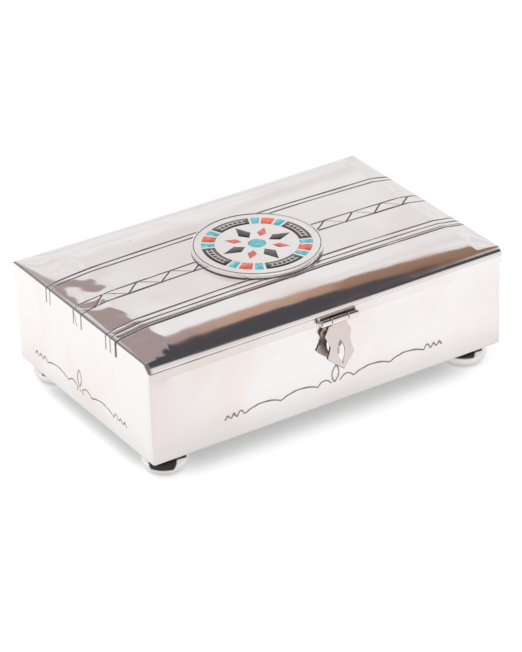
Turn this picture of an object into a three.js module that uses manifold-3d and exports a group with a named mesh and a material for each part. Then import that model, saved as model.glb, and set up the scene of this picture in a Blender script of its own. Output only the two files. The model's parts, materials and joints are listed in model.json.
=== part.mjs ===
// Rectangular sheet silver box: a low domed lid with a stone inlaid disc on it, a hasp and staple
// at the front, a pinned hinge at the back and four bun feet.
// Millimetres, +Z up, the front with the hasp faces -Y, the feet stand on z = 0.

import * as THREE from "three";
import { mergeVertices } from "three/addons/utils/BufferGeometryUtils.js";
import Module from "manifold-3d";

const wasm = await Module();
wasm.setup();

// Driving dimensions of the box
const lidLength = 165;
const lidWidth = 105;
const footHeight = 8.8;
const bodyToCrest = 43.2;
const lidSkirtHeight = 6.6;
const domeRise = 3.3;
const lidSheet = 1.0;
const lidOverhang = 0.4;
const wallSheet = 1.0;
const floorSheet = 1.2;
const rimSheet = 0.9;
const rimOverlap = 4.0;
const gap = 0.3;

// Shape of the dome: a nearly flat middle, a hammered facet down to each end, and long sides that
// fall away late. The front edge is rolled over and the back edge is square.
const domeCrown = 0.34;
const leftFacetDeg = 7;
const rightFacetDeg = 10.2;
const endFall = 0.2;
const endFallPower = 60;
const domePowerY = 6.5;
const rollRadius = 2.5;
const lipHeight = 2.7;
const domeColumns = 20;
const domeRows = 16;
const edgeCrowding = 1.8;
const rollSteps = 3;

// Feet
const footRadius = 9.2;
const footFlatRadius = 3.8;
const footInsetX = 10.7;
const footInsetY = 9.9;
const footRings = 8;
const footSides = 28;

// Inlaid disc
const discRadius = 26.4;
const baseThickness = 0.6;
const faceThickness = 0.8;
const bezelWall = 0.8;
const bezelLift = 0.15;
const discSides = 72;
const ringInner = 17.0;
const ringOuter = 22.3;
const arcStepDeg = 6;

// Hinge at the back
const hingeLength = 60;
const hingeKnuckles = 5;
const hingeRadius = 2.0;
const hingeBore = 1.1;
const hingePinRadius = 0.8;
const hingeLeaf = 0.8;
const hingeLeafDrop = 11.5;
const hingeLeafRise = 4.0;
const pinHeadRadius = 1.4;
const pinHeadThickness = 0.8;

// Hasp at the front
const haspX = 2.1;
const haspBarrelLength = 16.8;
const haspCentreKnuckle = 7.4;
const haspRadius = 1.35;
const haspBore = 0.8;
const haspPinRadius = 0.5;
const haspLeaf = 0.7;
const haspLeafRise = 2.3;
const haspPlateThickness = 0.9;
const haspPlateOffset = -0.6;
const haspTiltDeg = 6;
const haspAxisAboveSkirt = 1.5;
const haspPinHeadRadius = 0.9;
const haspPinHeadThickness = 0.5;

// Half outline of the hasp plate, from the knuckle down to its point: half width, drop below the pin
const haspOutline = [
  [3.0, 0.0],
  [3.1, 1.8],
  [5.9, 5.6],
  [5.1, 7.4],
  [4.8, 9.8],
  [5.4, 12.3],
  [6.4, 15.1],
  [4.9, 16.7],
  [2.7, 18.8],
];
const haspPointDrop = 21.4;
const slotTopDrop = 8.5;
const slotBottomDrop = 18.5;
const slotHalfWidth = 1.75;
const slotSteps = 10;

// Staple that the slot drops over
const stapleWireRadius = 0.65;
const stapleReach = 3.1;
const stapleHalfHeight = 2.4;
const stapleSteps = 12;

const knuckleSides = 24;

// Sizes that follow from the driving dimensions
const halfLength = lidLength / 2;
const halfWidth = lidWidth / 2;
const crestZ = footHeight + bodyToCrest;
const skirtZ = crestZ - lidSkirtHeight;
const seamZ = crestZ - lipHeight;
const flatHalfWidth = halfWidth - rollRadius;
const bodyHalfLength = halfLength - lidOverhang;
const bodyHalfWidth = halfWidth - lidOverhang;
const rimHalfLength = bodyHalfLength - wallSheet - gap;
const rimHalfWidth = bodyHalfWidth - wallSheet - gap;
const wallTopZ = skirtZ - gap;
const rimBottomZ = wallTopZ - rimOverlap;
const rimTopZ = crestZ - lidSheet - 3.5 * gap;
const domeTopZ = crestZ + domeRise;
const baseTopZ = domeTopZ + gap + baseThickness;
const faceTopZ = baseTopZ + gap + faceThickness;
const faceRadius = discRadius - bezelWall - gap;
const hingeAxisY = halfWidth + gap + hingeRadius;
const hingeAxisZ = skirtZ - 0.2;
const haspLeafFrontY = -halfWidth - gap - haspLeaf;
const haspAxisY = haspLeafFrontY - haspRadius + gap;
const haspAxisZ = skirtZ + haspAxisAboveSkirt;
const slotCentreDrop = (slotTopDrop + slotBottomDrop) / 2;

// The whole model is shifted so that the hasp's point and the hinge barrel reach equally far
const haspTilt = THREE.MathUtils.degToRad(haspTiltDeg);
const plateReach = haspPointDrop * Math.sin(haspTilt) + (haspPlateThickness / 2) * Math.cos(haspTilt);
const frontReach = -haspAxisY + plateReach;
const backReach = hingeAxisY + hingeRadius;
const centringShiftY = (frontReach - backReach) / 2;

// Finishes
const finishes = {
  silver: { color: 0xe6e1dc, roughness: 0.14, metalness: 1 },
  wornSilver: { color: 0xd2ccc6, roughness: 0.26, metalness: 1 },
  jet: { color: 0x1c1b1e, roughness: 0.22, metalness: 0 },
  coral: { color: 0xd9472f, roughness: 0.32, metalness: 0 },
  turquoise: { color: 0x4fa9b0, roughness: 0.34, metalness: 0 },
};

const box = new THREE.Group();
const body = new THREE.Group();
const lid = new THREE.Group();
const hasp = new THREE.Group();
box.add(body, lid, hasp);
box.position.y = centringShiftY;

function addPiece(group, name, geometry, finish) {
  const mesh = new THREE.Mesh(geometry, new THREE.MeshStandardMaterial(finish));
  mesh.name = name;
  group.add(mesh);
  return mesh;
}

// A rectangular block between two corners
function block(x0, x1, y0, y1, z0, z1) {
  const geometry = new THREE.BoxGeometry(x1 - x0, y1 - y0, z1 - z0);
  return geometry.translate((x0 + x1) / 2, (y0 + y1) / 2, (z0 + z1) / 2);
}

function shapeOf(points, holes = []) {
  const shape = new THREE.Shape(points.map(([x, y]) => new THREE.Vector2(x, y)));
  for (const hole of holes) shape.holes.push(new THREE.Path(hole.map(([x, y]) => new THREE.Vector2(x, y))));
  return shape;
}

function prism(points, depth, holes = []) {
  return new THREE.ExtrudeGeometry(shapeOf(points, holes), { depth, bevelEnabled: false, steps: 1 });
}

// An outline in Y and Z, drawn out along X from x0 to x1
function alongX(points, x0, x1, holes = []) {
  const turn = new THREE.Matrix4().makeBasis(
    new THREE.Vector3(0, 1, 0),
    new THREE.Vector3(0, 0, 1),
    new THREE.Vector3(1, 0, 0),
  );
  return prism(points, x1 - x0, holes).applyMatrix4(turn).translate(x0, 0, 0);
}

function circle(centreX, centreY, radius, sides) {
  return Array.from({ length: sides }, (_, i) => {
    const angle = (2 * Math.PI * i) / sides;
    return [centreX + radius * Math.cos(angle), centreY + radius * Math.sin(angle)];
  });
}

function solidOf(geometry) {
  const bare = geometry.clone();
  bare.deleteAttribute("normal");
  bare.deleteAttribute("uv");
  const merged = mergeVertices(bare, 1e-4);
  return new wasm.Manifold(
    new wasm.Mesh({
      numProp: 3,
      vertProperties: new Float32Array(merged.attributes.position.array),
      triVerts: new Uint32Array(merged.index.array),
    }),
  );
}

function geometryOf(solid) {
  const mesh = solid.getMesh();
  const geometry = new THREE.BufferGeometry();
  geometry.setAttribute("position", new THREE.BufferAttribute(mesh.vertProperties, 3));
  geometry.setIndex(new THREE.BufferAttribute(mesh.triVerts, 1));
  geometry.computeVertexNormals();
  return geometry;
}

function joined(geometries) {
  return geometryOf(geometries.map(solidOf).reduce((whole, next) => whole.add(next)));
}

// Four upright strips in a rectangle: the long ones run its full length, the short ones fit between them
function stripRing(halfX, halfY, sheet, z0, z1) {
  const reach = halfY - sheet - gap;
  return {
    front: block(-halfX, halfX, -halfY, sheet - halfY, z0, z1),
    back: block(-halfX, halfX, halfY - sheet, halfY, z0, z1),
    left: block(-halfX, sheet - halfX, -reach, reach, z0, z1),
    right: block(halfX - sheet, halfX, -reach, reach, z0, z1),
  };
}

// Body: four walls, a rim inside them that reaches up into the lid, and a floor let in between them
function addBody() {
  const walls = stripRing(bodyHalfLength, bodyHalfWidth, wallSheet, footHeight, wallTopZ);
  for (const [side, wall] of Object.entries(walls)) addPiece(body, `${side}_wall`, wall, finishes.silver);
  const rims = stripRing(rimHalfLength, rimHalfWidth, rimSheet, rimBottomZ, rimTopZ);
  for (const [side, rim] of Object.entries(rims)) addPiece(body, `rim_${side}`, rim, finishes.silver);
  const x = bodyHalfLength - wallSheet - gap;
  const y = bodyHalfWidth - wallSheet - gap;
  const floor = block(-x, x, -y, y, footHeight, footHeight + floorSheet);
  addPiece(body, "floor_plate", floor, finishes.wornSilver);
}

// Feet: flattened balls, cut flat where they meet the floor plate and the table
function footGeometry() {
  const height = footHeight - gap;
  const flatAngle = Math.acos(footFlatRadius / footRadius);
  const profile = [new THREE.Vector2(0, 0)];
  for (let i = 0; i <= footRings; i++) {
    const angle = flatAngle * ((2 * i) / footRings - 1);
    const z = (height / 2) * (1 + Math.sin(angle) / Math.sin(flatAngle));
    profile.push(new THREE.Vector2(footRadius * Math.cos(angle), z));
  }
  profile.push(new THREE.Vector2(0, height));
  return new THREE.LatheGeometry(profile, footSides).rotateX(Math.PI / 2);
}

function addFeet() {
  const x = bodyHalfLength - footInsetX;
  const y = bodyHalfWidth - footInsetY;
  const places = [
    ["foot_front_left", -x, -y],
    ["foot_front_right", x, -y],
    ["foot_back_left", -x, y],
    ["foot_back_right", x, y],
  ];
  for (const [name, footX, footY] of places) {
    addPiece(body, name, footGeometry(), finishes.silver).position.set(footX, footY, 0);
  }
}

// Lid top: one sheet, domed, and rolled over at the front down to the solder seam
function domeHeight(x, y) {
  const along = Math.abs(x / halfLength);
  const slope = Math.tan(THREE.MathUtils.degToRad(x < 0 ? leftFacetDeg : rightFacetDeg));
  const middle = 1 - domeCrown * along ** 2;
  const facet = (halfLength * (1 - along) * slope) / domeRise + endFall * (1 - along ** endFallPower);
  const across = Math.min(1, y < 0 ? -y / flatHalfWidth : y / halfWidth);
  return domeRise * Math.min(middle, facet) * (1 - across ** domePowerY);
}

// Steps from -1 to 1 that crowd towards both ends, where the dome bends most
function crowdedSteps(count) {
  return Array.from({ length: count + 1 }, (_, i) => {
    const t = (2 * i) / count - 1;
    return Math.sign(t) * (1 - (1 - Math.abs(t)) ** edgeCrowding);
  });
}

// Across the lid, each row has an outer and an inner point: [y, drop] from the crest, without the dome
function domeRowsAcross() {
  const middle = (halfWidth - flatHalfWidth) / 2;
  const reach = (halfWidth + flatHalfWidth) / 2;
  const rows = crowdedSteps(domeRows).map((t) => [[middle + t * reach, 0], [middle + t * reach, lidSheet]]);
  const roll = [];
  const innerRadius = rollRadius - lidSheet;
  for (let i = 1; i <= rollSteps; i++) {
    const angle = ((Math.PI / 2) * i) / rollSteps;
    const outer = [-flatHalfWidth - rollRadius * Math.sin(angle), rollRadius - rollRadius * Math.cos(angle)];
    const inner = [-flatHalfWidth - innerRadius * Math.sin(angle), rollRadius - innerRadius * Math.cos(angle)];
    roll.unshift([outer, inner]);
  }
  const lip = [[-halfWidth, lipHeight], [lidSheet - halfWidth, lipHeight]];
  return [lip, ...roll, ...rows];
}

function lidTopGeometry() {
  const columns = crowdedSteps(domeColumns).map((t) => t * halfLength);
  const rows = domeRowsAcross();
  const positions = [];
  for (const side of [0, 1]) {
    for (const x of columns) {
      for (const row of rows) {
        const [y, drop] = row[side];
        positions.push(x, y, crestZ - drop + domeHeight(x, y));
      }
    }
  }
  const perLayer = columns.length * rows.length;
  const at = (side, i, j) => side * perLayer + i * rows.length + j;
  const index = [];
  const quad = (a, b, c, d) => index.push(a, b, c, a, c, d);
  const lastColumn = columns.length - 1;
  const lastRow = rows.length - 1;
  for (let i = 0; i < lastColumn; i++) {
    for (let j = 0; j < lastRow; j++) {
      quad(at(0, i, j), at(0, i + 1, j), at(0, i + 1, j + 1), at(0, i, j + 1));
      quad(at(1, i, j), at(1, i, j + 1), at(1, i + 1, j + 1), at(1, i + 1, j));
    }
    quad(at(0, i, 0), at(1, i, 0), at(1, i + 1, 0), at(0, i + 1, 0));
    quad(at(0, i, lastRow), at(0, i + 1, lastRow), at(1, i + 1, lastRow), at(1, i, lastRow));
  }
  for (let j = 0; j < lastRow; j++) {
    quad(at(0, 0, j), at(0, 0, j + 1), at(1, 0, j + 1), at(1, 0, j));
    quad(at(0, lastColumn, j), at(1, lastColumn, j), at(1, lastColumn, j + 1), at(0, lastColumn, j + 1));
  }
  const geometry = new THREE.BufferGeometry();
  geometry.setAttribute("position", new THREE.Float32BufferAttribute(positions, 3));
  geometry.setIndex(index);
  geometry.computeVertexNormals();
  return geometry;
}

// Skirt strips: long ones at the front and back, short ones let in between them under the top sheet
function addLid() {
  addPiece(lid, "lid_top", lidTopGeometry(), finishes.silver);
  const innerY = halfWidth - lidSheet;
  const topZ = crestZ - lidSheet - gap;
  const front = block(-halfLength, halfLength, -halfWidth, -innerY, skirtZ, seamZ - gap);
  addPiece(lid, "lid_skirt_front", front, finishes.silver);
  const back = block(-halfLength, halfLength, innerY, halfWidth, skirtZ, topZ);
  addPiece(lid, "lid_skirt_back", back, finishes.silver);

  const reach = innerY - gap;
  const shoulderZ = topZ - 0.8;
  const outline = [
    [-reach, skirtZ],
    [reach, skirtZ],
    [reach, topZ],
    [gap - flatHalfWidth, topZ],
    [-reach, shoulderZ],
  ];
  const innerX = halfLength - lidSheet;
  addPiece(lid, "lid_skirt_left", alongX(outline, -halfLength, -innerX), finishes.silver);
  addPiece(lid, "lid_skirt_right", alongX(outline, innerX, halfLength), finishes.silver);
}

// Inlaid disc: a cell is an outline in polar steps, and its stone is the same outline drawn in
function polar(radius, angleDeg) {
  const angle = THREE.MathUtils.degToRad(angleDeg);
  return [radius * Math.cos(angle), radius * Math.sin(angle)];
}

function ringCell(centreDeg, spanDeg) {
  const steps = Math.max(2, Math.round(spanDeg / arcStepDeg));
  const angles = Array.from({ length: steps + 1 }, (_, i) => centreDeg - spanDeg / 2 + (spanDeg * i) / steps);
  const outer = angles.map((angle) => polar(ringOuter, angle));
  const inner = angles.map((angle) => polar(ringInner, angle)).reverse();
  return [...outer, ...inner];
}

function pointCell(centreDeg, root, shoulder, shoulderDeg, tip) {
  return [
    polar(root, centreDeg),
    polar(shoulder, centreDeg - shoulderDeg),
    polar(tip, centreDeg),
    polar(shoulder, centreDeg + shoulderDeg),
  ];
}

// Moves every side of an anticlockwise outline inwards by the same distance
function drawnIn(points, distance) {
  const count = points.length;
  const side = (i) => {
    const [ax, ay] = points[(i + count) % count];
    const [bx, by] = points[(i + 1) % count];
    const length = Math.hypot(bx - ax, by - ay);
    const normal = [-(by - ay) / length, (bx - ax) / length];
    return { x: ax + normal[0] * distance, y: ay + normal[1] * distance, dx: bx - ax, dy: by - ay };
  };
  return points.map((_, i) => {
    const before = side(i - 1);
    const after = side(i);
    const cross = before.dx * after.dy - before.dy * after.dx;
    const t = ((after.x - before.x) * after.dy - (after.y - before.y) * after.dx) / cross;
    return [before.x + before.dx * t, before.y + before.dy * t];
  });
}

const jetArcSpan = 46;
const coralBlockSpan = 14;
const turquoiseBlockSpan = 9;
const blockStepDeg = 14.5;
const jetPoint = { root: 5.6, shoulder: 9.6, shoulderDeg: 17, tip: 15.9 };
const coralPoint = { root: 6.2, shoulder: 9.2, shoulderDeg: 12, tip: 13.6 };
const centreStoneRadius = 3.7;

function inlayCells() {
  const centre = circle(0, 0, centreStoneRadius, 20);
  const cells = [{ name: "turquoise_centre", finish: finishes.turquoise, outline: centre }];
  const point = (centreDeg, size) => pointCell(centreDeg, size.root, size.shoulder, size.shoulderDeg, size.tip);
  for (let quarter = 0; quarter < 4; quarter++) {
    const straight = 90 * quarter;
    const diagonal = straight + 45;
    const number = quarter + 1;
    const coralOutline = ringCell(diagonal, coralBlockSpan);
    cells.push({ name: `jet_arc_${number}`, finish: finishes.jet, outline: ringCell(straight, jetArcSpan) });
    cells.push({ name: `coral_block_${number}`, finish: finishes.coral, outline: coralOutline });
    for (const [letter, turn] of [["a", -blockStepDeg], ["b", blockStepDeg]]) {
      const outline = ringCell(diagonal + turn, turquoiseBlockSpan);
      cells.push({ name: `turquoise_block_${number}${letter}`, finish: finishes.turquoise, outline });
    }
    cells.push({ name: `jet_point_${number}`, finish: finishes.jet, outline: point(straight, jetPoint) });
    cells.push({ name: `coral_point_${number}`, finish: finishes.coral, outline: point(diagonal, coralPoint) });
  }
  return cells;
}

function addDisc() {
  const base = new THREE.CylinderGeometry(discRadius, discRadius, baseThickness, discSides);
  base.rotateX(Math.PI / 2);
  addPiece(lid, "disc_base", base, finishes.silver).position.z = baseTopZ - baseThickness / 2;

  const cells = inlayCells();
  const pockets = cells.map((cell) => [...cell.outline].reverse());
  const face = prism(circle(0, 0, faceRadius, discSides), faceThickness, pockets);
  addPiece(lid, "disc_face", face, finishes.silver).position.z = faceTopZ - faceThickness;

  const ring = [
    [faceRadius + gap, 0],
    [discRadius, 0],
    [discRadius, faceThickness],
    [discRadius - bezelWall / 2, faceThickness + bezelLift],
    [faceRadius + gap, faceThickness],
    [faceRadius + gap, 0],
  ].map(([radius, height]) => new THREE.Vector2(radius, height));
  const bezel = new THREE.LatheGeometry(ring, discSides).rotateX(Math.PI / 2);
  addPiece(lid, "disc_bezel", bezel, finishes.silver).position.z = faceTopZ - faceThickness;

  for (const { name, finish, outline } of cells) {
    const stone = prism(drawnIn(outline, gap), faceThickness);
    addPiece(lid, name, stone, finish).position.z = faceTopZ - faceThickness;
  }
}

// A tube along X with a bore through it
function knuckle(x0, x1, axisY, axisZ, radius, bore) {
  const hole = circle(axisY, axisZ, bore, knuckleSides).reverse();
  return alongX(circle(axisY, axisZ, radius, knuckleSides), x0, x1, [hole]);
}

// A pin with a riveted head at each end
function pinGeometry(x0, x1, axisY, axisZ, radius, headRadius, headThickness) {
  const inner = gap;
  const profile = [
    [0, x0 - inner - headThickness],
    [headRadius, x0 - inner - headThickness],
    [headRadius, x0 - inner],
    [radius, x0 - inner],
    [radius, x1 + inner],
    [headRadius, x1 + inner],
    [headRadius, x1 + inner + headThickness],
    [0, x1 + inner + headThickness],
  ].map(([r, x]) => new THREE.Vector2(r, x));
  const pin = new THREE.LatheGeometry(profile, knuckleSides).rotateZ(-Math.PI / 2);
  return pin.translate(0, axisY, axisZ);
}

// Hinge: the odd knuckles belong to the body leaf and the even ones to the lid leaf
function addHinge() {
  const pitch = hingeLength / hingeKnuckles;
  const spans = Array.from({ length: hingeKnuckles }, (_, i) => {
    const start = -hingeLength / 2 + i * pitch;
    return [start + gap / 2, start + pitch - gap / 2];
  });
  const bodySpans = spans.filter((_, i) => i % 2 === 0);
  const lidSpans = spans.filter((_, i) => i % 2 === 1);
  const tube = ([x0, x1]) => knuckle(x0, x1, hingeAxisY, hingeAxisZ, hingeRadius, hingeBore);

  const bodyLeafY = bodyHalfWidth + gap;
  const bodyLeafTop = hingeAxisZ - hingeRadius - gap;
  const bodyLeafBottom = hingeAxisZ - hingeLeafDrop;
  const webReachY = hingeAxisY - hingeBore - 0.2;
  const webBottom = bodyLeafTop - 0.8;
  const webTop = hingeAxisZ - gap;
  const bodyLeaf = [
    block(-hingeLength / 2, hingeLength / 2, bodyLeafY, bodyLeafY + hingeLeaf, bodyLeafBottom, bodyLeafTop),
    ...bodySpans.map(tube),
    ...bodySpans.map(([x0, x1]) => block(x0, x1, bodyLeafY, webReachY, webBottom, webTop)),
  ];
  addPiece(body, "hinge_leaf_body", joined(bodyLeaf), finishes.wornSilver);

  const lidLeafY = halfWidth + gap;
  const notchTop = hingeAxisZ + hingeRadius + gap;
  const lidLeafTop = hingeAxisZ + hingeLeafRise;
  const lidLeaf = [
    block(-hingeLength / 2, hingeLength / 2, lidLeafY, lidLeafY + hingeLeaf, notchTop, lidLeafTop),
    ...lidSpans.map(tube),
    ...lidSpans.map(([x0, x1]) => block(x0, x1, lidLeafY, lidLeafY + hingeLeaf, hingeAxisZ, lidLeafTop)),
  ];
  addPiece(lid, "hinge_leaf_lid", joined(lidLeaf), finishes.wornSilver);

  const half = hingeLength / 2;
  const pin = pinGeometry(-half, half, hingeAxisY, hingeAxisZ, hingePinRadius, pinHeadRadius, pinHeadThickness);
  addPiece(body, "hinge_pin", pin, finishes.wornSilver);
}

// Hasp: a leaf on the lid skirt with two knuckles, the plate with one, and the pin through them
function addHaspLeaf() {
  const x0 = haspX - haspBarrelLength / 2;
  const x1 = haspX + haspBarrelLength / 2;
  const centreX0 = haspX - haspCentreKnuckle / 2 - gap;
  const centreX1 = haspX + haspCentreKnuckle / 2 + gap;
  const tube = (a, b) => knuckle(a, b, haspAxisY, haspAxisZ, haspRadius, haspBore);
  const leafTop = haspAxisZ + haspLeafRise;
  const leafBack = -halfWidth - gap;
  const notchBottom = haspAxisZ + haspRadius + gap;
  const leaf = [
    tube(x0, centreX0),
    tube(centreX1, x1),
    block(x0, centreX0, haspLeafFrontY, leafBack, haspAxisZ - haspRadius / 2, leafTop),
    block(centreX1, x1, haspLeafFrontY, leafBack, haspAxisZ - haspRadius / 2, leafTop),
    block(x0, x1, haspLeafFrontY, leafBack, notchBottom, leafTop),
  ];
  addPiece(lid, "hasp_leaf", joined(leaf), finishes.silver);
  const pin = pinGeometry(x0, x1, haspAxisY, haspAxisZ, haspPinRadius, haspPinHeadRadius, haspPinHeadThickness);
  addPiece(lid, "hasp_pin", pin, finishes.wornSilver);
}

// The slot is a pointed oval
function slotOutline() {
  const half = (slotBottomDrop - slotTopDrop) / 2;
  const right = [];
  for (let i = 0; i <= slotSteps; i++) {
    const t = (2 * i) / slotSteps - 1;
    right.push([slotHalfWidth * (1 - t * t), -slotCentreDrop + half * t]);
  }
  const left = right.slice(1, -1).map(([x, z]) => [-x, z]).reverse();
  return [...right, ...left];
}

function addHaspPlate() {
  const right = haspOutline.map(([x, drop]) => [x, -drop]).reverse();
  const left = haspOutline.map(([x, drop]) => [-x, -drop]);
  const outline = [...left, [0, -haspPointDrop], ...right];
  const turn = new THREE.Matrix4().makeBasis(
    new THREE.Vector3(1, 0, 0),
    new THREE.Vector3(0, 0, 1),
    new THREE.Vector3(0, -1, 0),
  );
  const plate = prism(outline, haspPlateThickness, [slotOutline().reverse()])
    .applyMatrix4(turn)
    .translate(haspPlateOffset, haspPlateThickness / 2, 0);
  const half = haspCentreKnuckle / 2;
  const tube = knuckle(-half, half, 0, 0, haspRadius, haspBore);
  const bore = alongX(circle(0, 0, haspBore, knuckleSides), -half - 1, half + 1);
  const geometry = geometryOf(solidOf(plate).add(solidOf(tube)).subtract(solidOf(bore)));
  addPiece(hasp, "hasp_plate", geometry, finishes.silver);
  hasp.position.set(haspX, haspAxisY, haspAxisZ);
  hasp.rotation.x = -haspTilt;
}

// Staple: a wire arch that stands out from the front wall behind the slot
function addStaple() {
  const wallY = -bodyHalfWidth;
  const centreX = haspX + haspPlateOffset;
  const centreZ = haspAxisZ - slotCentreDrop * Math.cos(haspTilt);
  const reachY = stapleReach - stapleWireRadius;
  const points = [];
  for (let i = 0; i <= stapleSteps; i++) {
    const angle = Math.PI * (i / stapleSteps - 0.5);
    const outward = gap + (reachY - gap) * Math.cos(angle) ** 0.6;
    points.push(new THREE.Vector3(centreX, wallY - outward, centreZ + stapleHalfHeight * Math.sin(angle)));
  }
  const path = new THREE.CatmullRomCurve3(points);
  const wire = shapeOf(circle(0, 0, stapleWireRadius, 8));
  const settings = { steps: 2 * stapleSteps, bevelEnabled: false, extrudePath: path };
  const geometry = new THREE.ExtrudeGeometry(wire, settings);
  addPiece(body, "staple", geometry, finishes.silver);
}

addBody();
addFeet();
addLid();
addDisc();
addHinge();
addHaspLeaf();
addHaspPlate();
addStaple();

export default box;
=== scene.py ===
"""Inlaid silver box for Blender 4.5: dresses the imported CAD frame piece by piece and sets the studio."""

import json
import math

import bmesh
import bpy
import numpy as np
from mathutils import Matrix, Vector
from mathutils.geometry import tessellate_polygon


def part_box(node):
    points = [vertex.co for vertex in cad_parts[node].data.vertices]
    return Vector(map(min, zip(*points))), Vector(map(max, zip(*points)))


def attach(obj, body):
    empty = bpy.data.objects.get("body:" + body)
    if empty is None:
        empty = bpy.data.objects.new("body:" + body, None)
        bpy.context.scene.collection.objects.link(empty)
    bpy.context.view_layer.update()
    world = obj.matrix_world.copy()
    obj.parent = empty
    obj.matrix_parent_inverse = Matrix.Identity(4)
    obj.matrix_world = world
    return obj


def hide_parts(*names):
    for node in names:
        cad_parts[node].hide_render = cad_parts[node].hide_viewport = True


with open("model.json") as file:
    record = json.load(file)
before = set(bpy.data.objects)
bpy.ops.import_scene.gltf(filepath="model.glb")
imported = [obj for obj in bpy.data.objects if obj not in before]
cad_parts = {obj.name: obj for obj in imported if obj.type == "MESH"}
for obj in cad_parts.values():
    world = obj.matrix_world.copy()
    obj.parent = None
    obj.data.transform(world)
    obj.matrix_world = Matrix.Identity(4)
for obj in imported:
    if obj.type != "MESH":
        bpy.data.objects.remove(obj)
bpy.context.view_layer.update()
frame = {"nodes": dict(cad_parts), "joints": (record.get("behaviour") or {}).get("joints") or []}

bl_info = {
    "name": "Inlaid silver box",
    "version": (1, 0, 0),
    "blender": (4, 5, 0),
    "location": "View3D > Sidebar > Silver box",
    "description": "Builds a sheet silver box with a chased lid, an inlaid disc and a hasp",
    "category": "Add Mesh",
}

MM = 0.001


def box_mm(node):
    """The low and high corners of a CAD node's box."""
    low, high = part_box(node)
    return np.array(low) / MM, np.array(high) / MM


def joint_mm(name):
    """A point on a joint's axis."""
    found = [joint for joint in frame["joints"] if joint["name"] == name]
    return np.array(found[0]["pos_m"]) / MM


# Places read from the frame, in millimetres
lid_low, lid_high = box_mm("lid_top")
wall_low, wall_high = box_mm("front_wall")
rim_low, rim_high = box_mm("rim_front")
skirt_low, skirt_high = box_mm("lid_skirt_front")
foot_low, foot_high = box_mm("foot_front_left")
hinge_axis = joint_mm("lid_hinge")
hasp_axis = joint_mm("hasp_hinge")
CENTRE_Y = (lid_low[1] + lid_high[1]) / 2
HALF_LENGTH = (lid_high[0] - lid_low[0]) / 2
HALF_WIDTH = (lid_high[1] - lid_low[1]) / 2
BODY_HALF_LENGTH = (wall_high[0] - wall_low[0]) / 2
BODY_HALF_WIDTH = CENTRE_Y - wall_low[1]
BODY_BOTTOM = wall_low[2]
RIM_BOTTOM = rim_low[2]
RIM_TOP = rim_high[2]
SKIRT_BOTTOM = skirt_low[2]
SEAM_Z = lid_low[2]
LIP_HEIGHT = 2.7
CREST_Z = SEAM_Z + LIP_HEIGHT
FOOT_X = -(foot_low[0] + foot_high[0]) / 2
FOOT_Y = CENTRE_Y - (foot_low[1] + foot_high[1]) / 2


# Settings


def length(name, description, millimetres):
    """A length property whose default is given in millimetres."""
    return bpy.props.FloatProperty(
        name=name, description=description, default=millimetres * MM, unit="LENGTH", precision=5, min=0
    )


def share(name, description, default):
    """A plain number that is mostly between 0 and 1."""
    return bpy.props.FloatProperty(name=name, description=description, default=default, min=0, soft_max=1)


def angle(name, description, degrees):
    """An angle property whose default is given in degrees."""
    default = math.radians(degrees)
    return bpy.props.FloatProperty(name=name, description=description, default=default, subtype="ANGLE")


def colour(name, description, default):
    """A linear colour property."""
    return bpy.props.FloatVectorProperty(
        name=name, description=description, default=default, size=3, subtype="COLOR", min=0, max=1
    )


class SilverBoxLid(bpy.types.PropertyGroup):
    dome_rise: length("Dome rise", "Height of the lid's middle over its ends", lid_high[2] - CREST_Z)
    crown: share("Crown", "Share of the rise that the nearly flat middle loses towards the ends", 0.34)
    left_front_slope: angle("Left front slope", "Slope of the facet in front at the left end", 7.7)
    left_back_slope: angle("Left back slope", "Slope of the facet at the back of the left end", 6.2)
    right_slope: angle("Right slope", "Slope of the facet at the right end", 10.2)
    edge_fall: share("Edge fall", "Share of the rise that is lost in the last millimetres of an end", 0.2)
    side_power: bpy.props.FloatProperty(
        name="Side power", description="How late the dome falls to the front and back", default=6.5, min=1
    )
    sheet: length("Sheet", "Thickness of the lid's silver sheet", 1.0)
    roll_radius: length("Roll radius", "Reach of the sheet's rolled edge at the front", 2.5)
    arris_radius: length("Arris radius", "Radius of the worn edge at the ends and the back", 0.3)
    groove_depth: length("Groove depth", "Depth of the chased lines", 0.26)
    ridge_height: length("Ridge height", "Height of the ridges between the front lines", 0.06)
    wobble: length("Wobble", "How far the hand led tool strays", 0.13)
    unevenness: length("Unevenness", "Height of the raised sheet's soft waves", 0.12)


class SilverBoxBody(bpy.types.PropertyGroup):
    sheet: length("Sheet", "Thickness of the walls", 1.0)
    rim: length("Rim", "Thickness of the rim inside the walls that reaches into the lid", 0.9)
    lid_joint: length("Lid joint", "Gap between the walls and the lid", 0.14)
    corner_radius: length("Corner radius", "Radius of the soldered corners", 0.8)
    stroke_depth: length("Stroke depth", "Depth of the chased border", 0.22)
    stroke_width: length("Stroke width", "Half width of the border's strokes", 0.27)
    foot_radius: length("Foot radius", "Radius of the flattened ball feet", 9.2)
    foot_flat: length("Foot flat", "Radius of the flat that a foot stands on", 3.8)


class SilverBoxDisc(bpy.types.PropertyGroup):
    radius: length("Disc radius", "Outer radius of the disc", 26.4)
    bezel_wall: length("Bezel wall", "Thickness of the rim", 0.85)
    ring_inner: length("Ring inside", "Inner radius of the ring of cells", 17.0)
    ring_outer: length("Ring outside", "Outer radius of the ring of cells", 22.3)
    joint: length("Joint", "Gap between a stone and its cell", 0.07)
    crown: length("Crown", "How far the stones stand over the face", 0.06)
    wire: length("Wire", "Width of the silver wires in the jet", 0.42)


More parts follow.
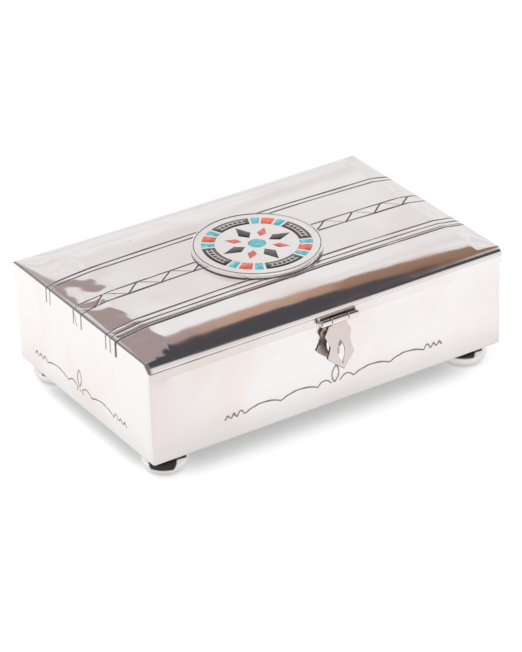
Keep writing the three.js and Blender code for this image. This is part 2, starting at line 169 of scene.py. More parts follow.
class SilverBoxFittings(bpy.types.PropertyGroup):
    hinge_length: length("Hinge length", "Length of the back hinge", 60)
    hinge_radius: length("Hinge radius", "Radius of the back hinge's knuckles", 2.0)
    hinge_drop: length("Hinge drop", "How far the body's leaf reaches below the hinge's axis", 11.5)
    hinge_rise: length("Hinge rise", "How far the lid's leaf reaches above the hinge's axis", 4.0)
    hinge_sheet: length("Hinge sheet", "Thickness of the hinge's leaves with their solder", 1.1)
    hasp_knuckle: length("Hasp knuckle", "Length of the middle knuckle", 7.4)
    hasp_radius: length("Hasp radius", "Radius of the hasp's knuckles", 1.35)
    hasp_tilt: angle("Hasp tilt", "How far the plate hangs out", 6)
    hasp_sheet: length("Hasp sheet", "Thickness of the hasp's plate", 0.9)
    staple_wire: length("Staple wire", "Radius of the staple's wire", 0.65)


class SilverBoxFinish(bpy.types.PropertyGroup):
    silver: colour("Silver", "Colour of the polished silver", (0.925, 0.905, 0.9))
    worn_silver: colour("Worn silver", "Colour of the silver that isn't polished", (0.78, 0.75, 0.73))
    tarnish: colour("Tarnish", "Colour of the warm blotches", (0.9, 0.76, 0.68))
    # Painted reflection tone: a greyer, warmer colour that the dull attribute mixes in
    dull: colour("Dull", "Colour of the silver where it has lost its shine", (0.66, 0.56, 0.52))
    # Colour of the oxide in the lines and dents, and of the painted shade and painted dark reflections
    oxide: colour("Oxide", "Colour of the darkened lines", (0.035, 0.028, 0.024))
    jet: colour("Jet", "Colour of the black stone", (0.012, 0.012, 0.014))
    coral: colour("Coral", "Colour of the red stone", (0.72, 0.10, 0.05))
    turquoise: colour("Turquoise", "Colour of the blue stone", (0.08, 0.50, 0.58))


class SilverBoxStudio(bpy.types.PropertyGroup):
    floor: colour("Floor", "Colour of the floor", (0.93, 0.93, 0.93))
    floor_glow: share("Floor glow", "How much lighter the camera sees the floor", 0.36)
    floor_in_gloss: colour("Floor in gloss", "Colour of the floor in the metal", (0.27, 0.265, 0.265))
    floor_gloss_glow: share("Floor glow in gloss", "How much lighter the metal shows the floor", 0.72)
    backdrop: colour("Backdrop", "Pale backdrop that the metal shows", (0.79, 0.755, 0.755))
    backdrop_light: colour("Backdrop's light parts", "Clouds of light on the backdrop", (0.9, 0.9, 0.9))
    boards_left: colour("Left boards", "Warm band over the backdrop, at its left", (0.395, 0.312, 0.31))
    boards: colour("Boards", "Warm band over the backdrop, in its middle", (0.52, 0.34, 0.26))
    boards_right: colour("Right boards", "Warm band over the backdrop, to its right", (0.31, 0.185, 0.13))
    ceiling: colour("Ceiling", "Dark ceiling that the metal shows", (0.07, 0.068, 0.08))
    sky: share("Sky", "Strength of the even light", 0.92)
    lens: bpy.props.FloatProperty(name="Lens", description="Focal length in millimetres", default=165.42)
    view_turn: angle("View turn", "How far to the left of the front the camera stands", 32.26)
    view_rise: angle("View rise", "How steeply the camera looks down", 29.22)
    view_roll: angle("View roll", "How far the camera leans", -1.69)
    view_distance: length("View distance", "From the camera to the point that it looks at", 1209.26)
    view_height: length("View height", "Height of the point that the camera looks at", 20.05)
    view_forward: length("View forward", "How far in front of the box's middle that point lies", 1.14)


# Node trees


class Socket:
    """A node's output that takes part in Python arithmetic: each operation adds a Math node."""

    def __init__(self, tree, output):
        self.tree = tree
        self.output = output

    def of(self, name):
        """Another output of the same node."""
        return Socket(self.tree, self.output.node.outputs[name])

    def __add__(self, other):
        return self.tree.maths("ADD", self, other)

    def __sub__(self, other):
        return self.tree.maths("SUBTRACT", self, other)

    def __rsub__(self, other):
        return self.tree.maths("SUBTRACT", other, self)

    def __mul__(self, other):
        return self.tree.maths("MULTIPLY", self, other)

    def __truediv__(self, other):
        return self.tree.maths("DIVIDE", self, other)

    def __pow__(self, other):
        return self.tree.maths("POWER", self, other)

    __radd__ = __add__
    __rmul__ = __mul__


class Tree:
    """Adds nodes to a node tree: the type, its settings, then the values or links of its sockets."""

    def __init__(self, node_tree):
        self.nodes = node_tree.nodes
        self.links = node_tree.links

    def add(self, kind, settings=None, inputs=None, output=0):
        """Adds any node, and gives one of its outputs, or the node if it has none."""
        node = self.nodes.new(kind)
        for name, value in (settings or {}).items():
            setattr(node, name, value)
        for name, value in (inputs or {}).items():
            if isinstance(value, Socket):
                self.links.new(value.output, node.inputs[name])
            else:
                node.inputs[name].default_value = value
        if not len(node.outputs):
            return node
        return Socket(self, node.outputs[output])

    def maths(self, operation, *values):
        """Adds a Math node."""
        return self.add("ShaderNodeMath", {"operation": operation}, dict(enumerate(values)))

    def vector(self, operation, *values, output=0):
        """Adds a Vector Math node."""
        return self.add("ShaderNodeVectorMath", {"operation": operation}, dict(enumerate(values)), output)

    def step(self, value, low, high):
        """Rises smoothly from 0 at low to 1 at high."""
        settings = {"interpolation_type": "SMOOTHSTEP"}
        values = {"Value": value, "From Min": low, "From Max": high}
        return self.add("ShaderNodeMapRange", settings, values)

    def held(self, value, low, high):
        """Keeps a value between two limits."""
        return self.maths("MINIMUM", self.maths("MAXIMUM", value, low), high)

    def mix(self, factor, first, second):
        """Goes from the first colour to the second."""
        settings = {"data_type": "RGBA"}
        return self.add("ShaderNodeMix", settings, {0: factor, 6: first, 7: second}, output=2)

    def noise(self, place, scale, detail=2.0, distortion=0.0):
        """Adds a Noise Texture node."""
        values = {"Vector": place, "Scale": scale, "Detail": detail, "Distortion": distortion}
        return self.add("ShaderNodeTexNoise", None, values)


def rgba(value):
    """A colour with full alpha, as a node's socket takes it."""
    return (*value, 1.0)


def new_material(name):
    """An empty node material and the tree to fill."""
    material = bpy.data.materials.new(name)
    material.use_nodes = True
    material.node_tree.nodes.clear()
    return material, Tree(material.node_tree)


def finish_material(tree, inputs):
    """Closes a material with one shader."""
    shader = tree.add("ShaderNodeBsdfPrincipled", None, inputs)
    tree.add("ShaderNodeOutputMaterial", None, {"Surface": shader})


def silver_material(name, base, finish, roughness, tarnish=0.3, waves=0.03, scratches=0.0016, pits=0.05):
    """Metal with warm blotches, fine scratches and small dents. waves, scratches and pits are heights in
    millimetres. Its attribute oxide darkens the lines with oxide and paints shade and dark
    reflections where it is set, and dull paints a greyer, warmer reflection tone."""
    material, tree = new_material(name)
    place = tree.add("ShaderNodeTexCoord", output="Object")
    oxide = tree.add("ShaderNodeAttribute", {"attribute_name": "oxide"}, output="Fac")
    dull = tree.add("ShaderNodeAttribute", {"attribute_name": "dull"}, output="Fac")
    blotch = tree.step(tree.noise(place, scale=34, detail=4, distortion=0.4), 0.46, 0.72)
    cloud = tree.noise(place, scale=120, detail=3)
    along_the_polish = {"Vector": place, "Scale": (0.35, 1.6, 1.0)}
    hairs = tree.noise(tree.add("ShaderNodeMapping", None, along_the_polish), scale=1500, detail=2)
    cells = tree.add("ShaderNodeTexVoronoi", None, {"Vector": place, "Scale": 62.0}, output="Distance")
    chosen = tree.add("ShaderNodeSeparateColor", None, {"Color": cells.of("Color")})
    dent = (1 - tree.step(cells, 0.012, 0.045)) * tree.step(chosen, 0.62, 0.64)
    clean = tree.mix(blotch * tarnish, rgba(base), rgba(finish.tarnish))
    # Painted reflection tone where the dull attribute is set
    wear_and_painted_reflection = tree.mix(dull, clean, rgba(finish.dull))
    speckled = tree.mix(dent * 0.6, wear_and_painted_reflection, rgba(finish.oxide))
    # Oxide in the lines, and painted shade and painted dark reflections, where oxide is set
    painted = tree.mix(oxide, speckled, rgba(finish.oxide))
    rough = roughness + cloud * 0.05 + blotch * 0.03 + hairs * 0.02 + oxide * 0.4
    waved = tree.noise(place, scale=62, detail=1.5) * waves
    height = waved + hairs * scratches + cloud * 0.004 - dent * pits
    bump = tree.add("ShaderNodeBump", None, {"Strength": 1.0, "Distance": MM, "Height": height})
    metal = 1 - oxide * 0.55
    finish_material(tree, {"Base Color": painted, "Metallic": metal, "Roughness": rough, "Normal": bump})
    return material


def stone_material(name, base, veins, vein_scale, vein_share, roughness):
    """Polished stone with clouded colour and thin veins, under a thin clear coat."""
    material, tree = new_material(name)
    place = tree.add("ShaderNodeTexCoord", output="Object")
    cloud = tree.noise(place, scale=260, detail=4)
    lines = tree.maths("ABSOLUTE", tree.noise(place, vein_scale, detail=5, distortion=1.2) - 0.5)
    vein = (1 - tree.step(lines, 0.004, 0.03)) * vein_share
    pale = tuple(min(1.0, value * 1.25 + 0.015) for value in base)
    deep = tuple(value * 0.72 for value in base)
    body = tree.mix(tree.step(cloud, 0.35, 0.65), rgba(deep), rgba(pale))
    grain = tree.noise(place, scale=2600, detail=3)
    height = grain * 0.003 + cloud * 0.02 - vein * 0.01
    bump = tree.add("ShaderNodeBump", None, {"Strength": 1.0, "Distance": MM, "Height": height})
    finish_material(
        tree,
        {
            "Base Color": tree.mix(vein, body, rgba(veins)),
            "Roughness": roughness + grain * 0.1,
            "Normal": bump,
            "Coat Weight": 0.35,
            "Coat Roughness": 0.08,
        },
    )
    return material


def make_finishes(finish):
    """Makes the five materials of the box."""
    silver_material("polished_silver", finish.silver, finish, roughness=0.04, tarnish=0.42)
    wear_and_painted_reflection = {"roughness": 0.2, "tarnish": 0.6, "waves": 0.02, "scratches": 0.004}
    silver_material("worn_silver", finish.worn_silver, finish, **wear_and_painted_reflection)
    for name, base, veins, vein_scale, vein_share, roughness in (
        ("jet_stone", finish.jet, (0.03, 0.03, 0.032), 240, 0.5, 0.12),
        ("coral_stone", finish.coral, (0.42, 0.04, 0.02), 300, 0.6, 0.2),
        ("turquoise_stone", finish.turquoise, (0.05, 0.16, 0.15), 300, 0.8, 0.22),
    ):
        stone_material(name, base, veins, vein_scale, vein_share, roughness)


def finish_of(scene):
    """The materials of the box by the record's slot names, made once."""
    names = {"silver": "polished_silver", "silver_soft": "worn_silver", "jet": "jet_stone"}
    names.update({"coral": "coral_stone", "turquoise": "turquoise_stone"})
    if names["silver"] not in bpy.data.materials:
        make_finishes(scene.silver_box_finish)
    return {slot: bpy.data.materials[name] for slot, name in names.items()}


# Mesh tools, all in millimetres until a mesh is written


SHARP_DEG = 38
SAME_POINT = 1e-7  # metres


def linked(name, mesh):
    """A new object in the scene that holds a mesh or a curve."""
    piece = bpy.data.objects.new(name, mesh)
    bpy.context.scene.collection.objects.link(piece)
    return piece


def mend(mesh, merge=0.0):
    """Joins points that lie closer than merge, in metres, and turns the faces outwards."""
    work = bmesh.new()
    work.from_mesh(mesh)
    if merge:
        bmesh.ops.remove_doubles(work, verts=work.verts, dist=merge)
    bmesh.ops.recalc_face_normals(work, faces=work.faces)
    work.to_mesh(mesh)
    work.free()


def write_mesh(name, points, faces, material, oxide=None, sharp=SHARP_DEG):
    """A closed mesh object with its faces outwards, smooth apart from its sharp edges."""
    mesh = bpy.data.meshes.new(name)
    mesh.from_pydata((np.asarray(points) * MM).tolist(), [], faces)
    if oxide is not None:
        attribute = mesh.attributes.new("oxide", "FLOAT", "POINT")
        attribute.data.foreach_set("value", np.asarray(oxide, np.float32))
    mesh.materials.append(material)
    mend(mesh)
    smooth(mesh, sharp)
    return linked(name, mesh)


def smooth(mesh, sharp):
    """Smooth shading, broken where two faces meet at more than sharp degrees."""
    mesh.polygons.foreach_set("use_smooth", [True] * len(mesh.polygons))
    mesh.set_sharp_from_angle(angle=math.radians(sharp))
    mesh.update()


def paint(piece, name, rule):
    """Sets a point attribute of a finished mesh from a rule of its points in millimetres."""
    mesh = piece.data
    places = np.empty(len(mesh.vertices) * 3, np.float32)
    mesh.vertices.foreach_get("co", places)
    attribute = mesh.attributes.get(name) or mesh.attributes.new(name, "FLOAT", "POINT")
    x, y, z = places.reshape(-1, 3).T / MM
    attribute.data.foreach_set("value", np.clip(rule(x, y, z), 0, 1).astype(np.float32))


def ramp(value, low, high):
    """Rises evenly from 0 at low to 1 at high."""
    return np.clip((value - low) / (high - low), 0, 1)


def settle(piece, body, slot, *nodes):
    """Gives a finished piece its body and hides the CAD nodes that it stands for. slot is not used."""
    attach(piece, body)
    if nodes:
        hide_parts(*nodes)
    return piece


def join(name, pieces, sharp=SHARP_DEG):
    """One object from several, in place."""
    work = bmesh.new()
    material = pieces[0].data.materials[0]
    for piece in pieces:
        work.from_mesh(piece.data)
        bpy.data.objects.remove(piece)
    mesh = bpy.data.meshes.new(name)
    work.to_mesh(mesh)
    work.free()
    mesh.materials.append(material)
    smooth(mesh, sharp)
    return linked(name, mesh)


def grid_faces(first, rows, columns, wrap_rows=False, wrap_columns=False):
    """Quads between rows of points that are numbered from first, row by row."""
    row_count = rows if wrap_rows else rows - 1
    column_count = columns if wrap_columns else columns - 1
    i, j = np.meshgrid(np.arange(row_count), np.arange(column_count), indexing="ij")
    next_i = (i + 1) % rows
    next_j = (j + 1) % columns
    corners = [i * columns + j, i * columns + next_j, next_i * columns + next_j, next_i * columns + j]
    return (first + np.stack([corner.ravel() for corner in corners], 1)).tolist()


def zip_rows(first, first_places, second, second_places):
    """Triangles between two rows of points that both run along the same line."""
    faces = []
    i = j = 0
    while i < len(first) - 1 or j < len(second) - 1:
        end_first = i == len(first) - 1
        end_second = j == len(second) - 1
        if end_second or (not end_first and first_places[i + 1] <= second_places[j + 1]):
            triangle = (first[i], first[i + 1], second[j])
            i += 1
        else:
            triangle = (first[i], second[j + 1], second[j])
            j += 1
        if len(set(triangle)) == 3:
            faces.append(triangle)
    return faces


def lathe(name, profile, material, sides=96, centre=(0, 0, 0), axis="Z", oxide=None, sharp=SHARP_DEG):
    """A profile of radius and height turned about an axis. A radius of 0 closes it."""
    angles = np.arange(sides) * 2 * math.pi / sides
    points, rings, dark = [], [], []
    for k, (radius, height) in enumerate(profile):
        turns = [0.0] if radius == 0 else angles
        rings.append(list(range(len(points), len(points) + len(turns))))
        for angle in turns:
            points.append((radius * math.cos(angle), radius * math.sin(angle), height))
            dark.append(oxide[k] if oxide else 0.0)
    faces = []
    for lower, upper in zip(rings[:-1], rings[1:]):
        for k in range(sides):
            corners = [lower[k % len(lower)], lower[(k + 1) % len(lower)]]
            corners += [upper[(k + 1) % len(upper)], upper[k % len(upper)]]
            corners = list(dict.fromkeys(corners))
            if len(corners) > 2:
                faces.append(corners)
    points = np.array(points)
    if axis == "X":
        points = points[:, [2, 0, 1]]
    return write_mesh(name, points + np.array(centre), faces, material, dark if oxide else None, sharp)


def tube(name, radius, bore, reach, material, chamfer=0.12, sides=32):
    """A short tube along X about the origin, with softened ends."""
    half = reach / 2
    ring = [
        (bore, -half),
        (radius - chamfer, -half),
        (radius, -half + chamfer),
        (radius, half - chamfer),
        (radius - chamfer, half),
        (bore, half),
        (bore, -half),
    ]
    piece = lathe(name, ring, material, sides, axis="X")
    mend(piece.data, SAME_POINT)
    smooth(piece.data, SHARP_DEG)
    return piece


def drawn_in(outline, distance):
    """Moves each side of an anticlockwise outline inwards by the same distance."""
    outline = np.asarray(outline, float)
    ahead = np.roll(outline, -1, 0) - outline
    ahead /= np.linalg.norm(ahead, axis=1)[:, None]
    behind = np.roll(ahead, 1, 0)
    inward = np.stack([-ahead[:, 1], ahead[:, 0]], 1) + np.stack([-behind[:, 1], behind[:, 0]], 1)
    reach = np.maximum(0.35, (inward**2).sum(1) / 2)
    return outline + inward * (distance / reach)[:, None]


def slab(name, outline, bottom, top, bevel, material, holes=(), hole_bevel=None, steps=2, sharp=50):
    """A plate in X and Y with rounded edges. The outline runs anticlockwise, and so does each hole."""
    points, faces, caps = [], [], [[], []]
    for number, ring in enumerate([outline, *holes]):
        edge = bevel if number == 0 or hole_bevel is None else hole_bevel
        inward = 1 if number == 0 else -1
        profile = []
        for k in range(steps + 1):
            angle = math.pi / 2 * k / steps
            profile.append((edge * (1 - math.sin(angle)), bottom + bevel * (1 - math.cos(angle))))
        upper = [(inset, top - (height - bottom)) for inset, height in reversed(profile)]
        first = len(points)
        for inset, height in profile + upper:
            shape = drawn_in(ring, inward * inset) if inset else np.asarray(ring, float)
            points.extend((x, y, height) for x, y in shape)
        faces += grid_faces(first, len(profile + upper), len(ring), wrap_columns=True)
        caps[0].append(list(range(first, first + len(ring))))
        caps[1].append(list(range(len(points) - len(ring), len(points))))
    for cap in caps:
        loops = [[Vector(points[k]) for k in loop] for loop in cap]
        numbers = [k for loop in cap for k in loop]
        faces += [[numbers[k] for k in triangle] for triangle in tessellate_polygon(loops)]
    return write_mesh(name, points, faces, material, sharp=sharp)


def turned(piece, matrix):
    """Places a mesh by a matrix in millimetres."""
    scaled = matrix.copy()
    scaled.translation = matrix.translation * MM
    piece.data.transform(scaled)
    return piece


def facing_front(x, y, z, tilt=0.0):
    """A frame whose X and Y lie along the box's X and Z, and whose Z looks out of the front."""
    upright = Matrix(((1, 0, 0), (0, 0, -1), (0, 1, 0))).to_4x4()
    return Matrix.Translation((x, y, z)) @ Matrix.Rotation(-tilt, 4, "X") @ upright


def circle(radius, sides):
    """A round outline about the origin, anticlockwise."""
    angles = np.arange(sides) * 2 * math.pi / sides
    return np.stack([radius * np.cos(angles), radius * np.sin(angles)], 1)


def drawn_wire(name, path, radius, material, sides=10):
    """A round wire along a path, with domed ends."""
    curve = bpy.data.curves.new(name, "CURVE")
    curve.dimensions = "3D"
    curve.bevel_depth = radius * MM
    curve.bevel_resolution = sides // 2
    curve.use_fill_caps = True
    spline = curve.splines.new("POLY")
    spline.points.add(len(path) - 1)
    for point, place in zip(spline.points, path):
        point.co = (*(np.asarray(place) * MM), 1.0)
    holder = linked(name, curve)
    bpy.context.view_layer.update()
    mesh = bpy.data.meshes.new_from_object(holder.evaluated_get(bpy.context.evaluated_depsgraph_get()))
    bpy.data.objects.remove(holder)
    mend(mesh, SAME_POINT)
    mesh.materials.clear()
    mesh.materials.append(material)
    smooth(mesh, 60)
    return linked(name, mesh)


# Geometry node trees


def geometry_tree(name, inputs):
    """A new tree with named inputs: pairs of a name and a socket type."""
    group = bpy.data.node_groups.new(name, "GeometryNodeTree")
    group.interface.new_socket("Geometry", in_out="INPUT", socket_type="NodeSocketGeometry")
    for label, kind in inputs:
        group.interface.new_socket(label, in_out="INPUT", socket_type=kind)
    group.interface.new_socket("Geometry", in_out="OUTPUT", socket_type="NodeSocketGeometry")
    tree = Tree(group)
    return group, tree, tree.add("NodeGroupInput")


def close_tree(tree, geometry, material):
    """Ends a tree with real geometry in one material."""
    real = tree.add("GeometryNodeRealizeInstances", None, {"Geometry": geometry})
    made = tree.add("GeometryNodeSetMaterial", None, {"Geometry": real, "Material": material})
    tree.add("NodeGroupOutput", None, {"Geometry": made})


def run_tree(piece, group, values, sharp=SHARP_DEG):
    """Runs a tree on a piece, keeps the result as its plain mesh and removes the modifier."""
    modifier = piece.modifiers.new(group.name, "NODES")
    modifier.node_group = group
    sockets = {item.name: item.identifier for item in group.interface.items_tree if item.in_out == "INPUT"}
    for label, value in values.items():
        modifier[sockets[label]] = value
    bpy.context.view_layer.update()
    graph = bpy.context.evaluated_depsgraph_get()
    mesh = bpy.data.meshes.new_from_object(
        piece.evaluated_get(graph), preserve_all_data_layers=True, depsgraph=graph
    )
    piece.modifiers.remove(modifier)
    old = piece.data
    piece.data = mesh
    bpy.data.meshes.remove(old)
    mesh.name = piece.name
    smooth(mesh, sharp)
    return piece


def copies_tree(name, inputs, place):
    """A tree that copies a part to points, made once. place gives the points, and the copies' rotation
    where they turn, from the tree and its inputs."""
    if name in bpy.data.node_groups:
        return bpy.data.node_groups[name]
    group, tree, given = geometry_tree(name, [*inputs, ("Material", "NodeSocketMaterial")])
    placed = {"Instance": given, **place(tree, given)}
    close_tree(tree, tree.add("GeometryNodeInstanceOnPoints", None, placed), given.of("Material"))
    return group


def ring_tree():
    """Copies a part round the vertical axis through the disc's middle."""

    def place(tree, given):
        """Points that all lie in the middle, each with its own turn."""
        dots = {"Count": given.of("Count"), "Start Location": given.of("Centre"), "Offset": (0, 0, 0)}
        line = tree.add("GeometryNodeMeshLine", {"mode": "OFFSET"}, dots)
        turn = tree.add("GeometryNodeInputIndex") * (2 * math.pi) / given.of("Count")
        return {"Points": line, "Rotation": tree.add("ShaderNodeCombineXYZ", None, {"Z": turn})}

    inputs = [("Count", "NodeSocketInt"), ("Centre", "NodeSocketVector")]
    return copies_tree("copies_round_the_disc", inputs, place)


def row_tree():
    """Copies a part along a straight row."""

    def place(tree, given):
        """Points one step apart."""
        dots = {"Count": given.of("Count"), "Start Location": given.of("Start"), "Offset": given.of("Step")}
        return {"Points": tree.add("GeometryNodeMeshLine", {"mode": "OFFSET"}, dots)}

    inputs = [("Count", "NodeSocketInt"), ("Start", "NodeSocketVector"), ("Step", "NodeSocketVector")]
    return copies_tree("copies_in_a_row", inputs, place)


def corners_tree():
    """Copies a part to the four corners of a rectangle."""

    def place(tree, given):
        """The corners of a plane of one quad."""
        size = {"Size X": given.of("Length"), "Size Y": given.of("Width"), "Vertices X": 2, "Vertices Y": 2}
        moved = {"Geometry": tree.add("GeometryNodeMeshGrid", None, size), "Translation": given.of("Centre")}
        return {"Points": tree.add("GeometryNodeTransform", None, moved)}

    inputs = [("Length", "NodeSocketFloat"), ("Width", "NodeSocketFloat"), ("Centre", "NodeSocketVector")]
    return copies_tree("copies_at_the_corners", inputs, place)


def dome_tree():
    """Raises a flat sheet into the dome: nearly flat in the middle, with a hammered facet to each end,
    falling away to the front and back."""
    names = ["Half Length", "Front Reach", "Back Reach", "Centre Y", "Rise", "Crown", "Left Front Slope"]
    names += ["Left Back Slope", "Right Slope", "Edge Fall", "Side Power"]
    names += ["Unevenness", "Wave Scale", "Seed"]
    inputs = [(name, "NodeSocketFloat") for name in names] + [("Material", "NodeSocketMaterial")]
    group, tree, given = geometry_tree("raised_dome", inputs)
    here = tree.add("GeometryNodeInputPosition")
    part = tree.add("ShaderNodeSeparateXYZ", None, {"Vector": here})

    def waves(seed, scale):
        """Noise about 0."""
        place = {"Vector": here, "W": seed, "Scale": scale, "Detail": 1.0}
        return tree.add("ShaderNodeTexNoise", {"noise_dimensions": "4D"}, place) - 0.5

    # How far a point lies along the lid's half length, and across it to the front or back, from 0 to 1
    reach = tree.maths("MINIMUM", tree.maths("ABSOLUTE", part), given.of("Half Length"))
    along = reach / given.of("Half Length")
    from_middle = part.of("Y") - given.of("Centre Y")
    to_front = from_middle / (0.0 - given.of("Front Reach"))
    across = tree.maths("MAXIMUM", to_front, from_middle / given.of("Back Reach"))
    across = tree.maths("MINIMUM", across, 1.0)

    # The facet at each end, with a ragged upper rim
    left = tree.maths("LESS_THAN", part, 0.0)
    in_front = 1 - tree.step(from_middle, 2 * MM, 7 * MM)
    left_slope = given.of("Left Back Slope") * (1 - in_front) + given.of("Left Front Slope") * in_front
    slope = left_slope * left + given.of("Right Slope") * (1 - left)
    ragged = waves(given.of("Seed") + 1.0, 75.0) * (1 - along**8.0) * (11 * MM)
    from_end = given.of("Half Length") - reach + ragged
    facet = from_end * tree.maths("TANGENT", slope) / given.of("Rise")
    facet = facet + given.of("Edge Fall") * (1 - along**60.0)

    # The whole dome, with the soft waves of a raised sheet, deeper at the left end
    middle = 1 - given.of("Crown") * along * along
    end_share = tree.maths("SMOOTH_MIN", middle, facet, 0.05)
    shape = end_share * (1 - across ** given.of("Side Power"))
    hammered = 1 + left * tree.step(along, 0.5, 0.8) * 1.5
    wave = waves(given.of("Seed"), given.of("Wave Scale"))
    uneven = given.of("Unevenness") * hammered * wave * tree.step(shape, 0.0, 0.25)
    lift = given.of("Rise") * shape + uneven
    offset = tree.add("ShaderNodeCombineXYZ", None, {"Z": lift})
    raised = tree.add("GeometryNodeSetPosition", None, {"Geometry": given, "Offset": offset})
    close_tree(tree, raised, given.of("Material"))
    return group


# Chased lines and strokes


ZIGZAG_TOP = 4.2
ZIGZAG_BOTTOM = -1.8
HEAVY_LINE = -28.0
SHORT_LINE = -26.7
LID_LINES = [  # y from the middle of the lid, half width, strength
    (25.4, 0.31, 1.0),
    (22.5, 0.27, 0.8),
    (ZIGZAG_TOP, 0.27, 0.85),
    (ZIGZAG_BOTTOM, 0.31, 1.0),
    (-20.7, 0.29, 1.0),
    (-23.9, 0.27, 0.9),
    (SHORT_LINE, 0.22, 0.6),
    (HEAVY_LINE, 0.46, 1.0),
]
LID_RIDGES = [  # y, half width, share of the ridge height
    (23.95, 1.0, 0.45),
    (-22.3, 1.15, 0.8),
    (-25.3, 1.05, 1.0),
]
FINE_SPOTS = [25.4, 22.5, (-2.7, 5.1)]  # lines and bands of y that need a fine mesh
LINE_END_DROP = 7.4
SEAM_JOINT_AND_SHADE = 0.85


def eased(t):
    """Takes a share from 0 to 1 along a soft S."""
    return t * t * (3 - 2 * t)


def stray(x, y, amount):
    """How far a chased line lies off its straight course."""
    slow = 0.6 * np.sin(x / 9.1 + 0.7 * y) + 0.25 * np.sin(x / 3.7 + 1.9 * y)
    return amount * slow * (1 - np.clip(np.abs(y) / 50, 0, 1) ** 8)


def groove(distance, half_width):
    """1 on a line, 0 beyond its edge."""
    return eased(np.clip((1.55 - distance / half_width) / 1.2, 0, 1))


def stroke_field(s, z, strokes):
    """The strongest groove at each point of a face, for strokes of points, half width and strength."""
    field = np.zeros_like(s)
    for points, half_width, strength in strokes:
        for (s0, z0), (s1, z1) in zip(points[:-1], points[1:]):
            ds, dz = s1 - s0, z1 - z0
            t = np.clip(((s - s0) * ds + (z - z0) * dz) / (ds * ds + dz * dz), 0, 1)
            distance = np.hypot(s - s0 - t * ds, z - z0 - t * dz)
            field = np.maximum(field, strength * groove(distance, half_width))
    return field


def zigzag_strokes():
    """Thick rising strokes and thin falling ones between the middle pair of lines, closer to the right."""
    low = [-76 + 15.2 * k - 0.065 * k * k for k in range(11)]
    high = [-69 + 15.6 * k - 0.106 * k * k for k in range(11)]
    high = [-84.6, *high]
    strokes = [([(a, ZIGZAG_BOTTOM), (b, ZIGZAG_TOP)], 0.36, 1.0) for a, b in zip(low, high[1:])]
    strokes += [([(b, ZIGZAG_TOP), (a, ZIGZAG_BOTTOM)], 0.2, 0.55) for a, b in zip(low, high)]
    strokes.append(([(high[-1], ZIGZAG_TOP), (84.0, -1.0)], 0.2, 0.55))
    return strokes


def left_edge_painted_reflection(x, y):
    """Painted dark reflection along the lid's left edge, and in a thin sliver beside it that widens from the
    back corner forwards.
    """
    edge = ramp(-x, HALF_LENGTH - 1.7, HALF_LENGTH - 0.6)
    inset = HALF_LENGTH - 0.8 - 0.11 * (HALF_WIDTH - y)
    sliver = ramp(-x, inset - 0.8, inset) * ramp(y, 21, 24)
    return np.maximum(0.8 * edge, 0.3 * sliver)


def lid_relief(x, y, settings):
    """Height of the lid's relief and its oxide, with the painted dark reflection at the left edge, at points
    of the flat lid (y from its middle).
    """
    depth = settings.groove_depth / MM
    height = np.zeros_like(x)
    dark = left_edge_painted_reflection(x, y)
    for place, half_width, share_of_ridge in LID_RIDGES:
        ridge = eased(np.clip(1 - np.abs(y - place) / half_width, 0, 1))
        height += settings.ridge_height / MM * share_of_ridge * ridge
    for place, half_width, strength in LID_LINES:
        narrowing = 1 - 0.35 * np.clip((x + 20) / 90, 0, 1) if place == HEAVY_LINE else 1.0
        uneven = 1 + 0.15 * np.sin(x / 6.3 + place)
        mark = strength * groove(np.abs(y - place), half_width * narrowing * uneven)
        height -= depth * mark
        dark = np.maximum(dark, mark)
    band = (y > ZIGZAG_BOTTOM - 1.2) & (y < ZIGZAG_TOP + 1.2)
    marks = stroke_field(x[band], y[band], zigzag_strokes())
    height[band] -= 0.8 * depth * marks
    dark[band] = np.maximum(dark[band], marks)
    return height, dark


def skirt_relief(side, y, drop, settings):
    """Depth and oxide of the lines that run down an end of the lid, drop below the crest."""
    strokes = []
    for place, half_width, strength in LID_LINES:
        if place != SHORT_LINE:
            wide = half_width * (1.5 if place == HEAVY_LINE else 1.1)
            strokes.append(([(place, -1.0), (place - 0.25 * side, LINE_END_DROP)], wide, strength))
    strokes.append(([(ZIGZAG_TOP, 0.2), (1.4, LINE_END_DROP)], 0.24, 0.8))
    mark = stroke_field(y, drop, strokes)
    return -settings.groove_depth / MM * mark, mark


def seam_joint_and_painted_shade(x, y):
    """The solder seam under the rolled edge: a dark joint with painted shade in its gap, darkest at the near
    corner and lost by the hasp.
    """
    fade = np.clip((6 - x) / 70, 0, 1) ** 0.8
    broken = 0.75 + 0.25 * np.sin(x / 3.1) * np.sin(x / 7.7 + 1)
    return np.where(y < 0, fade * broken, 0.0) * SEAM_JOINT_AND_SHADE


FRONT_BOLDNESS = 1.0
SIDE_BOLDNESS = 0.95
FRONT_BORDER = (-51.5, 54.5)  # the part of the wall that the border fills
SIDE_BORDER = (-34.5, 41.0)


def arch(left, right, base, rise, steps=9):
    """A shallow arc between two cusps."""
    t = np.linspace(0, 1, steps)
    return list(zip(left + (right - left) * t, base + rise * 4 * t * (1 - t)))


def leaf(centre, bottom, top, half_width, lean=0.0, steps=9):
    """A pointed leaf as two bowed strokes."""
    t = np.linspace(0, 1, steps)
    middle = centre + lean * t
    bow = half_width * 4 * t * (1 - t) * (1 - 0.15 * t)
    z = bottom + (top - bottom) * t
    return [list(zip(middle - bow, z)), list(zip(middle + bow, z))]


